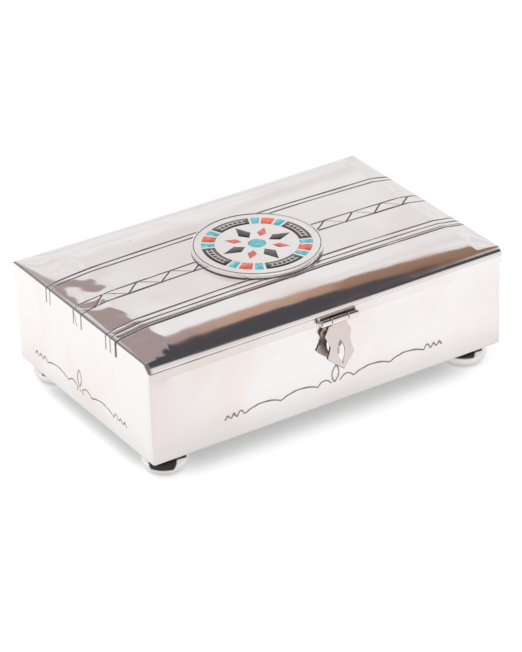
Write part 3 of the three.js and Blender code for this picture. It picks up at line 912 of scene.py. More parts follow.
def border_strokes(cusps, base, rise, tooth, leaf_at, boldness):
    """A border to both sides of a leaf: a small arc, two long ones, then three teeth that shrink.
    cusps are distances from the leaf, and tooth is the arc's width, the gap and the width of a wedge."""
    arch_width, gap, wedge = tooth
    strokes = []
    for side in (-1, 1):
        places = [leaf_at + side * cusp for cusp in cusps]
        for k, (near, far) in enumerate(zip(places[:-1], places[1:])):
            lift = rise * (0.92 if k == 0 else 1.0)
            strokes.append((arch(near + side * 0.15, far, base, lift), boldness, boldness))
        start = places[-1] + side * 0.4
        first_tooth = arch(start, start + side * arch_width, base, rise * 0.95, 7)
        strokes.append((first_tooth, 0.95 * boldness, boldness))
        for k in range(2):
            left = start + side * (arch_width + gap + k * (wedge + gap))
            peak = base + rise * (0.85 - 0.1 * k)
            points = [(left, base + 0.1), (left + side * wedge * 0.5, peak), (left + side * wedge, base)]
            strokes.append((points, 1.1 * boldness, boldness))
    return strokes


def wall_strokes():
    """The chased border of each wall, as (place along the wall, height over the body's bottom)."""
    front = border_strokes([2.0, 8.4, 25.6, 42.2], 9.1, 2.1, (3.0, 0.6, 2.2), 1.7, FRONT_BOLDNESS)
    front += [(line, FRONT_BOLDNESS, FRONT_BOLDNESS) for line in leaf(1.3, 9.0, 16.4, 1.75, 0.7)]
    side = border_strokes([1.5, 9.0, 25.7], 7.7, 2.0, (3.0, 0.8, 2.4), 3.2, SIDE_BOLDNESS)
    lines = leaf(3.5, 8.6, 16.4, 1.6, -0.4)
    lines += [[(3.2 + k, 7.5), (3.1 + 1.15 * k, 6.5)] for k in (-2.0, 0.1, 1.9)]
    side += [(line, SIDE_BOLDNESS, SIDE_BOLDNESS) for line in lines]
    return {"front": front, "right": side, "back": front, "left": side}


# Pieces


SIDES = ["front", "back", "left", "right"]


def rounded_loop(half_x, half_y, radius, front, side, steps=4):
    """The four sides and corners of a rectangle, anticlockwise from above.
    front and side are shares from -1 to 1 along the straight parts. Gives x, y, the outward normal,
    the side's number (front, right, back, left, or -1 in a corner) and the place along it."""
    sides = [
        (front, (1, 0), (0, -1), half_x, half_y),
        (side, (0, 1), (1, 0), half_y, half_x),
        (front[::-1], (1, 0), (0, 1), half_x, half_y),
        (side[::-1], (0, 1), (-1, 0), half_y, half_x),
    ]
    rows = []
    for number, (places, run, normal, half_run, reach) in enumerate(sides):
        for place in places:
            s = place * (half_run - radius)
            x = run[0] * s + normal[0] * reach
            y = run[1] * s + normal[1] * reach
            rows.append((x, y, normal[0], normal[1], number, s))
        corner = [(1, -1), (1, 1), (-1, 1), (-1, -1)][number]
        for k in range(1, steps):
            angle = math.atan2(normal[1], normal[0]) + math.pi / 2 * k / steps
            nx, ny = math.cos(angle), math.sin(angle)
            x = corner[0] * (half_x - radius) + radius * nx
            y = corner[1] * (half_y - radius) + radius * ny
            rows.append((x, y, nx, ny, -1, 0.0))
    return np.array(rows)


def crowded(places, spots, coarse, fine, reach=0.9):
    """Places from the first to the last of places: fine steps on a band or within reach of a line, and
    coarse ones elsewhere."""
    low, high = places
    line = list(np.arange(low, high, coarse)) + [high]
    for spot in spots:
        if isinstance(spot, tuple):
            line += list(np.arange(spot[0], spot[1], fine))
        else:
            line += list(np.arange(spot - reach, spot + reach + fine / 2, fine))
    line = np.array(sorted(value for value in line if low <= value <= high))
    kept = [line[0]]
    for value in line[1:]:
        if value - kept[-1] > fine * 0.55:
            kept.append(value)
    kept[-1] = high
    return np.array(kept)


def wall_profile(sheet, inset, top, rim_top, rim_bottom):
    """The walls' closed section: outside upwards, over the rim, and down the inside, as the depth behind
    the outer face and the height over the body's bottom."""
    border_heights = np.arange(6.0, 17.2, 0.24)
    soft = 0.15
    profile = [(0.5, 0.0), (0.22, 0.06), (0.06, 0.22)]
    heights = (0.5, 1.2, 3.0, 4.8, *border_heights, 19, 24, 29, 33, top - 0.1)
    profile += [(0.0, height) for height in heights]
    profile += [(0.1, top), (sheet, top), (sheet, rim_top - soft), (sheet + soft, rim_top)]
    profile += [(inset - soft, rim_top), (inset, rim_top - soft), (inset, rim_bottom), (sheet, rim_bottom)]
    return profile + [(sheet, 12.0), (sheet, 0.3), (sheet - 0.3, 0.0)]


def loop_pair(half_x, half_y, radius, depth, inner_radius, front, side):
    """A loop, and the loop that lies deeper by depth, with the same places along their sides."""
    shares = (front / (half_x - radius), side / (half_y - radius))
    outer = rounded_loop(half_x, half_y, radius, *shares)
    return outer, rounded_loop(half_x - depth, half_y - depth, inner_radius, *shares)


def between(blend, outer, inner):
    """Places between the two loops of a pair, for shares of the way from the outer one."""
    return [(1 - blend) * outer[:, k] + blend * inner[:, k] for k in (0, 1)]


def build_body(scene, finishes):
    """The four walls as one soldered shell with the chased border on each."""
    settings = scene.silver_box_body
    sheet = settings.sheet / MM
    radius = settings.corner_radius / MM
    depth = settings.stroke_depth / MM
    width = settings.stroke_width / MM
    half_x, half_y = BODY_HALF_LENGTH, BODY_HALF_WIDTH
    front = crowded((-half_x + radius, half_x - radius), [FRONT_BORDER], 3.0, 0.34)
    side = crowded((-half_y + radius, half_y - radius), [SIDE_BORDER], 3.0, 0.34)
    inset = sheet + settings.rim / MM
    outer, inner = loop_pair(half_x, half_y, radius, inset, 0.25, front, side)
    top = SKIRT_BOTTOM - settings.lid_joint / MM - BODY_BOTTOM
    profile = wall_profile(sheet, inset, top, RIM_TOP - BODY_BOTTOM, RIM_BOTTOM - BODY_BOTTOM)
    blend = np.array([behind / inset for behind, _ in profile])[:, None]
    z = np.array([height for _, height in profile])[:, None] + 0 * outer[:, 0]
    x, y = between(blend, outer, inner)
    marks = np.zeros_like(z)
    on_border = (blend == 0) & (z > 5) & (z < 18)
    strokes = wall_strokes()
    along = 0 * z + outer[:, 5]
    wander = 0.08 * np.sin(along * 1.1 + 2.1 * z)
    for number, name in enumerate(["front", "right", "back", "left"]):
        chosen = on_border & (outer[:, 4] == number)
        mirror = -1 if name in ("right", "back") else 1
        scaled = [(points, half * width, strength) for points, half, strength in strokes[name]]
        marks[chosen] = stroke_field(mirror * along[chosen], (z + wander)[chosen], scaled)
    x = x - outer[:, 2] * depth * marks
    y = y - outer[:, 3] * depth * marks
    points = np.stack([x, y + CENTRE_Y, z + BODY_BOTTOM], 2).reshape(-1, 3)
    faces = grid_faces(0, len(profile), len(outer), True, True)
    walls = write_mesh("body_walls", points, faces, finishes["silver"], marks.ravel() * 0.9)
    # Painted reflection tone and painted shade on the walls
    paint(walls, "dull", wall_painted_reflection)
    nodes = [f"{side_name}_wall" for side_name in SIDES] + [f"rim_{side_name}" for side_name in SIDES]
    return settle(walls, "box_body", "silver", *nodes)


def wall_painted_reflection(x, y, z):
    """Painted reflection tone on the front wall: painted shade low down, a warmer tone at its left end, in
    soft patches and on its left corner, and a small darker spot just under the skirt's edge. The other walls
    get only a little painted shade low down."""
    front = ramp(CENTRE_Y - y, BODY_HALF_WIDTH - 1, BODY_HALF_WIDTH - 0.2)
    low = 1 - ramp(z, BODY_BOTTOM, 26)
    left_end = (1 - ramp(x, -BODY_HALF_LENGTH, -42)) * (0.3 + 0.7 * ramp(z, 9, 24))
    spot_under_skirt = np.exp(-((x + 76.5) ** 2) / 8 - (z - 44) ** 2 / 2.5)
    patch = np.sin(x / 17 + z / 13 + 0.5) * np.sin(z / 9 - x / 29 + 1.3)
    edge = 1 - ramp(x, -BODY_HALF_LENGTH, 0.8 - BODY_HALF_LENGTH)
    wear_and_painted_reflection = 0.14 * low + 0.42 * left_end + 0.1 * ramp(patch, 0, 1) + 0.3 * edge + 0.5 * spot_under_skirt
    return front * wear_and_painted_reflection + 0.02 * low


def foot_profile(radius, flat, tall):
    """A flattened ball from its standing flat up to the solder under the body, as radius and height."""
    reach = math.acos(flat / radius)
    rings = 26
    profile = [(0.0, 0.0), (flat - 0.5, 0.0)]
    for k in range(rings + 1):
        angle = reach * (2 * k / rings - 1)
        height = tall / 2 * (1 + math.sin(angle) / math.sin(reach))
        profile.append((radius * math.cos(angle), height))
    return profile + [(flat - 0.4, tall + 0.15), (flat - 0.4, tall + 0.45), (0.0, tall + 0.45)]


def build_floor_and_feet(scene, finishes):
    """The floor sheet let in between the walls, and four flattened balls under it."""
    settings = scene.silver_box_body
    sheet = settings.sheet / MM
    x = BODY_HALF_LENGTH - sheet
    y = BODY_HALF_WIDTH - sheet
    top = box_mm("floor_plate")[1][2]
    outline = [(-x, -y), (x, -y), (x, y), (-x, y)]
    plate = slab("floor_sheet", outline, BODY_BOTTOM + 0.1, top, 0.12, finishes["silver_soft"])
    turned(plate, Matrix.Translation((0, CENTRE_Y, 0)))
    # Painted shade: the floor sheet is dark except for its top, as the box's underside lies in shade
    paint(plate, "oxide", lambda x, y, z: 0.92 * (z < top - 0.3))
    settle(plate, "box_body", "silver_soft", "floor_plate")

    profile = foot_profile(settings.foot_radius / MM, settings.foot_flat / MM, BODY_BOTTOM - 0.3)
    foot = lathe("bun_feet", profile, finishes["silver"], 96)
    values = {
        "Length": 2 * FOOT_X * MM,
        "Width": 2 * FOOT_Y * MM,
        "Centre": (0.0, CENTRE_Y * MM, 0.0),
        "Material": finishes["silver"],
    }
    feet = run_tree(foot, corners_tree(), values)
    # Painted dark reflection and painted shade on the feet
    paint(feet, "oxide", foot_painted_reflection)
    nodes = [f"foot_{end}_{side}" for end in ("front", "back") for side in ("left", "right")]
    return settle(feet, "box_body", "silver", *nodes)


DARK_FACING_DEG = -122  # where a foot's dark edge lies lowest, and again on its far side


def foot_painted_reflection(x, y, z):
    """A foot carries a painted dark reflection above an edge that lies lowest to the front left and back
    right, and painted shade where it meets the floor. On the far feet the edge is higher."""
    far = (x > 0) | (y > CENTRE_Y)
    x = x - np.sign(x) * FOOT_X
    y = y - CENTRE_Y - np.sign(y - CENTRE_Y) * FOOT_Y
    turn = (np.degrees(np.arctan2(y, x)) - DARK_FACING_DEG + 90) % 180 - 90
    edge = 3.3 + 1.5 * far + 3.4 * ramp(turn, 22, 38) + 3.6 * ramp(-turn, 36, 50)
    return ramp(z, edge, edge + 0.5) + 0.8 * (1 - ramp(z, 1.0, 1.8))


ROLL_SLOPE = 0.6
ROLL_ROWS = 13


def roll_at(share, roll):
    """A rolled edge that begins at the dome's slope and ends upright: its reach, its drop and the sine
    of its turn, for shares from 0 to 1 along it."""
    reach = roll * (2 * share - share**2)
    drop = roll * (2 * (1 - share) * share * ROLL_SLOPE + share**2)
    turn = math.atan2((1 - share) * ROLL_SLOPE + share * (1 - ROLL_SLOPE), 1 - share)
    return reach, drop, math.sin(turn)


def arris_profile(arris, sheet, steps=4):
    """The worn edge at an end or the back, down to the sheet's underside: reach, drop, and the normal's
    share outwards."""
    edge = []
    for k in range(1, steps + 1):
        angle = math.pi / 2 * k / steps
        edge.append((arris * math.sin(angle), arris * (1 - math.cos(angle)), math.sin(angle)))
    return edge + [(arris, arris + 0.35, 1.0), (arris, sheet, 1.0)]


def lid_rows(settings, edge):
    """The lid sheet's rows from front to back: place, drop below the crest, and the normal's part along Y.
    Also gives the number of rows in the rolled edge."""
    roll = settings.roll_radius / MM
    flat_front = HALF_WIDTH - roll
    flat_back = HALF_WIDTH - settings.arris_radius / MM
    rows = [(-HALF_WIDTH, LIP_HEIGHT, -1.0)]
    for share_of_roll in np.linspace(1, 0, ROLL_ROWS)[:-1]:
        reach, down, turn = roll_at(share_of_roll, roll)
        rows.append((-flat_front - reach, down, -turn))
    rolled = len(rows)
    spots = FINE_SPOTS + [(-29.4, -19.8)]
    rows += [(y, 0.0, 0.0) for y in crowded((-flat_front, flat_back), spots, 1.6, 0.17)]
    rows += [(flat_back + reach, down, 0.0) for reach, down, _ in edge]
    return [np.array(values) for values in zip(*rows)], rolled


def lid_columns(settings, edge):
    """The lid sheet's columns from left to right: place, drop at the ends, the normal's part along X."""
    flat_x = HALF_LENGTH - settings.arris_radius / MM
    columns = [(x, 0.0, 0.0) for x in crowded((-flat_x, flat_x), [], 0.42, 0.4)]
    ends = [(flat_x + reach, down, nx) for reach, down, nx in edge]
    columns = [(-x, down, -nx) for x, down, nx in reversed(ends)] + columns + ends
    return [np.array(values) for values in zip(*columns)]


def lid_face(settings, rows, columns, edge):
    """The chased outer face of the lid while its dome is still flat, and its oxide, with painted shade at
    the seam and the painted dark reflection at the left edge.
    """
    row_y, row_drop, row_ny = rows
    col_x, col_down, col_nx = columns
    row_nz = np.sqrt(np.clip(1 - row_ny**2, 0, 1))[:, None]
    col_top = np.sqrt(np.clip(1 - col_nx**2, 0, 1))[None, :]
    flat_front = HALF_WIDTH - settings.roll_radius / MM
    flat_back = HALF_WIDTH - settings.arris_radius / MM
    flat_x = HALF_LENGTH - settings.arris_radius / MM
    x = col_x[None, :] + 0 * row_y[:, None]
    y = row_y[:, None] + 0 * x
    drop = 0 * x + col_down[None, :]
    height, dark = lid_relief(x, y, settings)
    for side in (-1, 1):
        end = (col_nx * side > 0.5)[None, :] & (y > -flat_front)
        height[end], dark[end] = skirt_relief(side, y[end], drop[end], settings)
    height[(y < -flat_front) | (y > flat_back)] = 0
    dark[0] = np.maximum(dark[0], seam_joint_and_painted_shade(x[0], y[0]))
    lift = col_top * height - drop
    px = x + col_nx[None, :] * height
    py = y + stray(x, y, settings.wobble / MM) + row_ny[:, None] * lift
    pz = CREST_Z - row_drop[:, None] + row_nz * lift

    # Each back corner turns about one upright axis
    row_count, column_count = x.shape
    for i in range(1, len(edge) + 1):
        for j in range(1, len(edge) + 1):
            reach, down, _ = edge[max(i, j) - 1]
            around = math.pi / 4 * (2 - j / i if i >= j else i / j)
            row = row_count - len(edge) - 1 + i
            for side, column in ((-1, len(edge) - j), (1, column_count - len(edge) - 1 + j)):
                px[row, column] = side * (flat_x + reach * math.cos(around))
                py[row, column] = flat_back + reach * math.sin(around)
                pz[row, column] = CREST_Z - down
    return np.stack([px, py, pz], 2), dark


def lid_underside(settings, rows, rolled, edge_length, inner_x):
    """The inner face of the lid's sheet, in the same rows, with fewer columns."""
    row_y, row_drop, _ = rows
    sheet = settings.sheet / MM
    roll = settings.roll_radius / MM
    flat_front = HALF_WIDTH - roll
    flat_back = HALF_WIDTH - settings.arris_radius / MM
    inside = 1 - sheet / roll
    under_y = np.maximum(row_y, -flat_front + (row_y + flat_front) * inside)
    under_y[-edge_length:] = np.linspace(flat_back, HALF_WIDTH - 0.04, edge_length + 1)[1:]
    under_drop = sheet + row_drop * inside
    under_drop[0] = row_drop[0]
    under_drop[rolled:] = sheet
    under = np.zeros((len(row_y), len(inner_x), 3))
    under[:, :, 0] = inner_x[None, :]
    under[:, :, 1] = under_y[:, None]
    under[:, :, 2] = (CREST_Z - under_drop)[:, None]
    return under


def build_lid_top(scene, finishes):
    """The lid's sheet: chased while flat, raised into a dome by a node tree, and rolled at the front."""
    settings = scene.silver_box_lid
    edge = arris_profile(settings.arris_radius / MM, settings.sheet / MM)
    rows, rolled = lid_rows(settings, edge)
    columns = lid_columns(settings, edge)
    outer, dark = lid_face(settings, rows, columns, edge)
    row_count, column_count = dark.shape
    inner_x = np.linspace(-HALF_LENGTH, HALF_LENGTH, 27)[1:-1]
    under = lid_underside(settings, rows, rolled, len(edge), inner_x)

    # The underside shares the outer face's first and last columns
    numbers = np.empty((row_count, len(inner_x) + 2), int)
    numbers[:, 0] = np.arange(row_count) * column_count
    numbers[:, -1] = numbers[:, 0] + column_count - 1
    own = np.arange(row_count * len(inner_x)).reshape(row_count, -1)
    numbers[:, 1:-1] = row_count * column_count + own
    corners = [numbers[:-1, :-1], numbers[1:, :-1], numbers[1:, 1:], numbers[:-1, 1:]]
    faces = grid_faces(0, row_count, column_count)
    faces += np.stack([corner.ravel() for corner in corners], 1).tolist()
    for row in (0, row_count - 1):
        outer_row = list(range(row * column_count, (row + 1) * column_count))
        inner_places = [-HALF_LENGTH, *inner_x, HALF_LENGTH]
        faces += zip_rows(outer_row, list(outer[row, :, 0]), numbers[row].tolist(), inner_places)
    points = np.concatenate([outer.reshape(-1, 3), under.reshape(-1, 3)])
    points[:, 1] += CENTRE_Y
    oxide = np.concatenate([dark.ravel(), np.zeros(own.size)])
    piece = write_mesh("lid_sheet", points, faces, finishes["silver"], oxide)
    values = {
        "Half Length": HALF_LENGTH * MM,
        "Front Reach": HALF_WIDTH * MM - settings.roll_radius,
        "Back Reach": HALF_WIDTH * MM,
        "Centre Y": CENTRE_Y * MM,
        "Rise": settings.dome_rise,
        "Crown": settings.crown,
        "Left Front Slope": settings.left_front_slope,
        "Left Back Slope": settings.left_back_slope,
        "Right Slope": settings.right_slope,
        "Edge Fall": settings.edge_fall,
        "Side Power": settings.side_power,
        "Unevenness": settings.unevenness,
        "Wave Scale": 48.0,
        "Seed": 3.0,
        "Material": finishes["silver"],
    }
    run_tree(piece, dome_tree(), values)
    return settle(piece, "lid", "silver", "lid_top")


def skirt_tops(outer, sheet, roll):
    """Height of the skirts' top all round: under the lid's sheet at the ends and the back, following its
    roll where the ends meet the front, and at the seam in front."""
    beyond = -outer[:, 1] - (HALF_WIDTH - roll)
    inner_roll = roll - sheet
    along = 1 - np.sqrt(1 - np.clip(beyond / inner_roll, 0, 1))
    curved = CREST_Z - sheet - inner_roll * (2 * (1 - along) * along * ROLL_SLOPE + along**2)
    top = np.where(beyond <= 0, CREST_Z - sheet, np.where(beyond < inner_roll, curved, SEAM_Z))
    under_sheet = (outer[:, 4] == 1) | (outer[:, 4] == 3) | (outer[:, 1] > 0)
    return np.where(under_sheet, np.maximum(top, SEAM_Z), SEAM_Z), under_sheet


def skirt_section(top, under_sheet, sheet):
    """The skirts' closed section at each place round the ring: share of the depth, and height."""
    low = SKIRT_BOTTOM
    bevel = 0.16
    top_bevel = np.where(under_sheet, 0.005, bevel)
    section = [(0.5, low), (bevel / sheet, low), (0.3 * bevel / sheet, low + 0.3 * bevel)]
    for part in (0.0, 0.12, 0.3, 0.48, 0.66, 0.84, 1.0):
        section.append((0.0, low + bevel + (top - top_bevel - low - bevel) * part))
    section += [(top_bevel / sheet, top), (0.9, top), (1.0, top - 0.1), (1.0, low + 0.2)]
    return [np.array([entry[k] + 0 * top for entry in section]) for k in (0, 1)]


def build_skirts(scene, finishes):
    """The strips under the lid's sheet as one soldered ring, with the lines run down over its ends."""
    settings = scene.silver_box_lid
    sheet = settings.sheet / MM
    radius = 0.35
    half_x, half_y = HALF_LENGTH, HALF_WIDTH
    front = crowded((-half_x + radius, half_x - radius), [], 2.0, 1.0)
    spots = FINE_SPOTS + [(-29.6, -19.8), (49.8, 52.1), (-52.1, -49.8)]
    side = crowded((-half_y + radius, half_y - radius), spots, 2.0, 0.17)
    outer, inner = loop_pair(half_x, half_y, radius, sheet, 0.2, front, side)
    top, under_sheet = skirt_tops(outer, sheet, settings.roll_radius / MM)
    blend, z = skirt_section(top, under_sheet, sheet)
    x, y = between(blend, outer, inner)
    dark = np.zeros_like(z)
    relief = np.zeros_like(z)
    for side_number, sign in ((1, 1), (3, -1)):
        chosen = (blend == 0) & (outer[:, 4] == side_number)
        straight = y - stray(0 * y + sign * half_x, y, settings.wobble / MM)
        drop = CREST_Z - z[chosen]
        relief[chosen], dark[chosen] = skirt_relief(sign, straight[chosen], drop, settings)
    x = x + outer[:, 2] * relief
    y = y + outer[:, 3] * relief
    seam_row = (z > top - 0.3) & (blend < 0.5) & (outer[:, 4] == 0)
    dark[seam_row] = np.maximum(dark[seam_row], seam_joint_and_painted_shade(x, y)[seam_row])
    points = np.stack([x, y + CENTRE_Y, z], 2).reshape(-1, 3)
    faces = grid_faces(0, len(blend), len(outer), True, True)
    ring = write_mesh("lid_skirts", points, faces, finishes["silver"], dark.ravel())
    # Painted reflection tone on the front skirt
    paint(ring, "dull", skirt_painted_reflection)
    return settle(ring, "lid", "silver", *[f"lid_skirt_{side_name}" for side_name in SIDES])


def skirt_painted_reflection(x, y, z):
    """Painted reflection tone on the front skirt, stronger than on the walls and most of all at its left
    end.
    """
    front = ramp(CENTRE_Y - y, HALF_WIDTH - 1, HALF_WIDTH - 0.2)
    return front * (0.2 + 0.36 * (1 - ramp(x, -HALF_LENGTH, 10))) * (1 - ramp(x, 20, 60))


def polar(radius, degrees):
    """A point at an angle about the origin."""
    return (radius * math.cos(math.radians(degrees)), radius * math.sin(math.radians(degrees)))


def ring_cell(inner, outer, centre, span, step=3):
    """A piece of a ring, anticlockwise, centred on an angle in degrees."""
    angles = np.linspace(centre - span / 2, centre + span / 2, max(3, round(span / step) + 1))
    return [polar(outer, angle) for angle in angles] + [polar(inner, angle) for angle in angles[::-1]]


def point_cell(centre, root, shoulder, spread, tip):
    """A kite that points outwards."""
    return [
        polar(root, centre),
        polar(shoulder, centre - spread),
        polar(tip, centre),
        polar(shoulder, centre + spread),
    ]


def build_disc(scene, finishes):
    """The disc's mount and rim, turned as one. The CAD face keeps its shape and gets a finish."""
    settings = scene.silver_box_disc
    radius = settings.radius / MM
    inner = radius - settings.bezel_wall / MM
    face_low, face_high = box_mm("disc_face")
    top = face_high[2]
    foot = lid_high[2] - 0.75  # inside the lid's sheet
    bed = face_low[2] - 0.1
    # The third value paints oxide and shade: painted shade with the solder line at the foot of the rim, and
    # painted shade down the inside of the rim, in the gap round the face.
    turning = [  # radius, height, oxide
        (0.0, foot, 0.0),
        (radius - 0.1, foot, 0.95),
        (radius, foot + 0.1, 0.95),
        (radius, foot + 1.0, 0.92),
        (radius, foot + 1.3, 0.05),
        (radius, top - 0.15, 0.0),
        (radius - 0.1, top + 0.06, 0.0),
        (radius - 0.3, top + 0.14, 0.0),
        (radius - 0.55, top + 0.1, 0.0),
        (inner, top - 0.04, 0.3),
        (inner, bed, 1.0),
        (0.0, bed, 1.0),
    ]
    profile = [(reach, height) for reach, height, _ in turning]
    oxide = [dark for _, _, dark in turning]
    mount = lathe("disc_mount", profile, finishes["silver"], 144, (0, CENTRE_Y, 0), oxide=oxide)
    settle(mount, "lid", "silver", "disc_base", "disc_bezel")
    face = frame["nodes"]["disc_face"]
    face.data.materials.clear()
    face.data.materials.append(finishes["silver"])


def build_stones(scene, finishes):
    """The stones of the disc: one is cut for each form and copied round by a node tree."""
    settings = scene.silver_box_disc
    low, high = box_mm("disc_face")
    inner = settings.ring_inner / MM
    outer = settings.ring_outer / MM
    floor, top = low[2] + 0.02, high[2] + settings.crown / MM
    centre = (0.0, CENTRE_Y * MM, 0.0)
    quarters = range(1, 5)

    def cut(name, outlines, slot, nodes, count=4):
        """Cuts the stones of one form with a joint round each, and copies them round the disc."""
        parts = []
        for number, outline in enumerate(outlines):
            shape = drawn_in(outline, settings.joint / MM)
            parts.append(slab(f"{name}_{number}", shape, floor, top, 0.16, finishes[slot], sharp=60))
        stone = join(name, parts, 60)
        values = {"Count": count, "Centre": centre, "Material": finishes[slot]}
        run_tree(stone, ring_tree(), values, 60)
        return settle(stone, "lid", slot, *nodes)

    cut("jet_arcs", [ring_cell(inner, outer, 0, 46)], "jet", [f"jet_arc_{k}" for k in quarters])
    cut("coral_blocks", [ring_cell(inner, outer, 45, 14)], "coral", [f"coral_block_{k}" for k in quarters])
    blocks = [ring_cell(inner, outer, 45 + turn, 9) for turn in (-14.5, 14.5)]
    names = [f"turquoise_block_{k}{letter}" for k in quarters for letter in "ab"]
    cut("turquoise_blocks", blocks, "turquoise", names)
    cut("jet_points", [point_cell(0, 5.6, 9.6, 17, 15.9)], "jet", [f"jet_point_{k}" for k in quarters])
    names = [f"coral_point_{k}" for k in quarters]
    cut("coral_points", [point_cell(45, 6.2, 9.2, 12, 13.6)], "coral", names)
    cut("turquoise_centre_stone", [circle(3.7, 40)], "turquoise", ["turquoise_centre"], 1)
    return build_wires(settings, finishes["silver"], top, centre)


def build_wires(settings, material, top, centre):
    """The ladder of silver wires let into each jet arc: two rails and six rungs."""
    middle = (settings.ring_inner + settings.ring_outer) / MM / 2
    wire = settings.wire / MM
    rail = 0.85
    wires = [ring_cell(middle - rail - wire, middle - rail, 0, 37)]
    wires.append(ring_cell(middle + rail, middle + rail + wire, 0, 37))
    for angle in range(-15, 16, 6):
        wires.append(ring_cell(middle - rail, middle + rail, angle, math.degrees(wire / middle)))
    parts = []
    for number, outline in enumerate(wires):
        parts.append(slab(f"wire_{number}", outline, top - 0.15, top + 0.03, 0.04, material))
    inlay = join("jet_wires", parts)
    run_tree(inlay, ring_tree(), {"Count": 4, "Centre": centre, "Material": material})
    return settle(inlay, "lid", "silver")


def build_hinge(scene, finishes):
    """The hinge at the back: two leaves, five knuckles set out by a node tree, and the pin."""
    settings = scene.silver_box_fittings
    material = finishes["silver_soft"]
    radius = settings.hinge_radius / MM
    thick = settings.hinge_sheet / MM
    bore = 1.1
    half = settings.hinge_length / MM / 2
    pitch = 2 * half / 5
    clear = 0.3
    knuckle = pitch - clear
    axis_y, axis_z = hinge_axis[1], hinge_axis[2]
    body_y = CENTRE_Y + BODY_HALF_WIDTH
    lid_y = CENTRE_Y + HALF_WIDTH
    facing_back = Matrix(((-1, 0, 0), (0, 0, 1), (0, 1, 0))).to_4x4()

    def knuckles(name, count, start):
        """Every second knuckle from a place along the pin."""
        barrel = tube(name, radius, bore, knuckle, material)
        values = {
            "Count": count,
            "Start": (start * MM, axis_y * MM, axis_z * MM),
            "Step": (2 * pitch * MM, 0.0, 0.0),
            "Material": material,
        }
        return run_tree(barrel, row_tree(), values)

    def span(number):
        """The left and right ends of a knuckle, counted from the left."""
        start = -half + number * pitch + clear / 2
        return start, start + knuckle

    top = axis_z - radius - clear
    low = axis_z - settings.hinge_drop / MM
    outline = [(-half, low), (half, low), (half, top), (-half, top)]
    leaf_body = slab("leaf_low", outline, body_y - 0.02, body_y + thick, 0.2, material)
    parts = [turned(leaf_body, facing_back), knuckles("knuckles_low", 3, -2 * pitch)]
    for number in (0, 2, 4):
        x0, x1 = span(number)
        web = [(x0, top - 0.8), (x1, top - 0.8), (x1, axis_z - clear), (x0, axis_z - clear)]
        parts.append(turned(slab("web", web, body_y + 0.3, axis_y - 1.3, 0.1, material), facing_back))
    settle(join("hinge_leaf_low", parts), "box_body", "silver_soft", "hinge_leaf_body")

    high = axis_z + settings.hinge_rise / MM
    notch = axis_z + radius + clear
    outline = [(half, high), (-half, high), (-half, notch)]
    for number in (1, 3):
        x0, x1 = span(number)
        outline += [(x0, notch), (x0, axis_z), (x1, axis_z), (x1, notch)]
    outline += [(half, notch)]
    leaf_lid = slab("leaf_high", outline, lid_y - 0.02, lid_y + thick, 0.15, material)
    parts = [turned(leaf_lid, facing_back), knuckles("knuckles_high", 2, -pitch)]
    settle(join("hinge_leaf_high", parts), "lid", "silver_soft", "hinge_leaf_lid")

    pin = pin_profile(half, 0.8, 1.4, 0.8)
    rod = lathe("hinge_rod", pin, material, 32, (0, axis_y, axis_z), "X")
    return settle(rod, "box_body", "silver_soft", "hinge_pin")


def pin_profile(half, radius, head_radius, head):
    """A pin with a domed head at each end, as radius and place along it."""
    start = half + 0.3
    angles = np.linspace(0, math.pi / 2, 6)[:-1]
    dome = [(head_radius * math.cos(a), start + head * math.sin(a)) for a in angles]
    right = [(radius, 0.0), (radius, start), *dome, (0.0, start + head)]
    left = [(r, -x) for r, x in reversed(right[1:])]
    return left + right


# The plate's outline: place beside the middle of its knuckle, and drop below the pin
HASP_LEFT = [
    (-3.5, 1.2),
    (-3.65, 1.6),
    (-4.8, 1.95),
    (-5.0, 2.5),
    (-5.9, 4.0),
    (-7.0, 5.9),
    (-6.35, 7.4),
    (-5.6, 9.1),
    (-5.45, 10.5),
    (-5.8, 12.0),
    (-7.1, 14.9),
    (-5.6, 16.7),
    (-3.0, 18.8),
]
HASP_RIGHT = [
    (3.5, 1.2),
    (3.4, 1.8),
    (3.5, 2.6),
    (4.2, 4.0),
    (5.0, 5.3),
    (4.5, 7.2),
    (4.2, 9.7),
    (4.85, 12.5),
    (5.75, 15.3),
    (4.4, 16.7),
    (2.5, 18.7),
]
HASP_POINT = (0.3, 21.38)
SLOT_TOP = (-0.5, 8.55)
SLOT_BOTTOM = (-0.1, 18.45)
SLOT_HALF_WIDTH = 1.7


def hasp_outlines():
    """The plate's outline and its pointed slot, on the upright plane that the plate hangs in."""
    plate = [(place, -drop) for place, drop in [*HASP_LEFT, HASP_POINT, *reversed(HASP_RIGHT)]]
    t = np.linspace(-1, 1, 17)
    bow = SLOT_HALF_WIDTH * (1 - t * t)
    slot_x = (SLOT_BOTTOM[0] + SLOT_TOP[0]) / 2 + (SLOT_TOP[0] - SLOT_BOTTOM[0]) / 2 * t
    slot_z = -(SLOT_BOTTOM[1] + SLOT_TOP[1]) / 2 + (SLOT_BOTTOM[1] - SLOT_TOP[1]) / 2 * t
    return plate, [*zip(slot_x + bow, slot_z), *list(zip(slot_x - bow, slot_z))[-2:0:-1]]


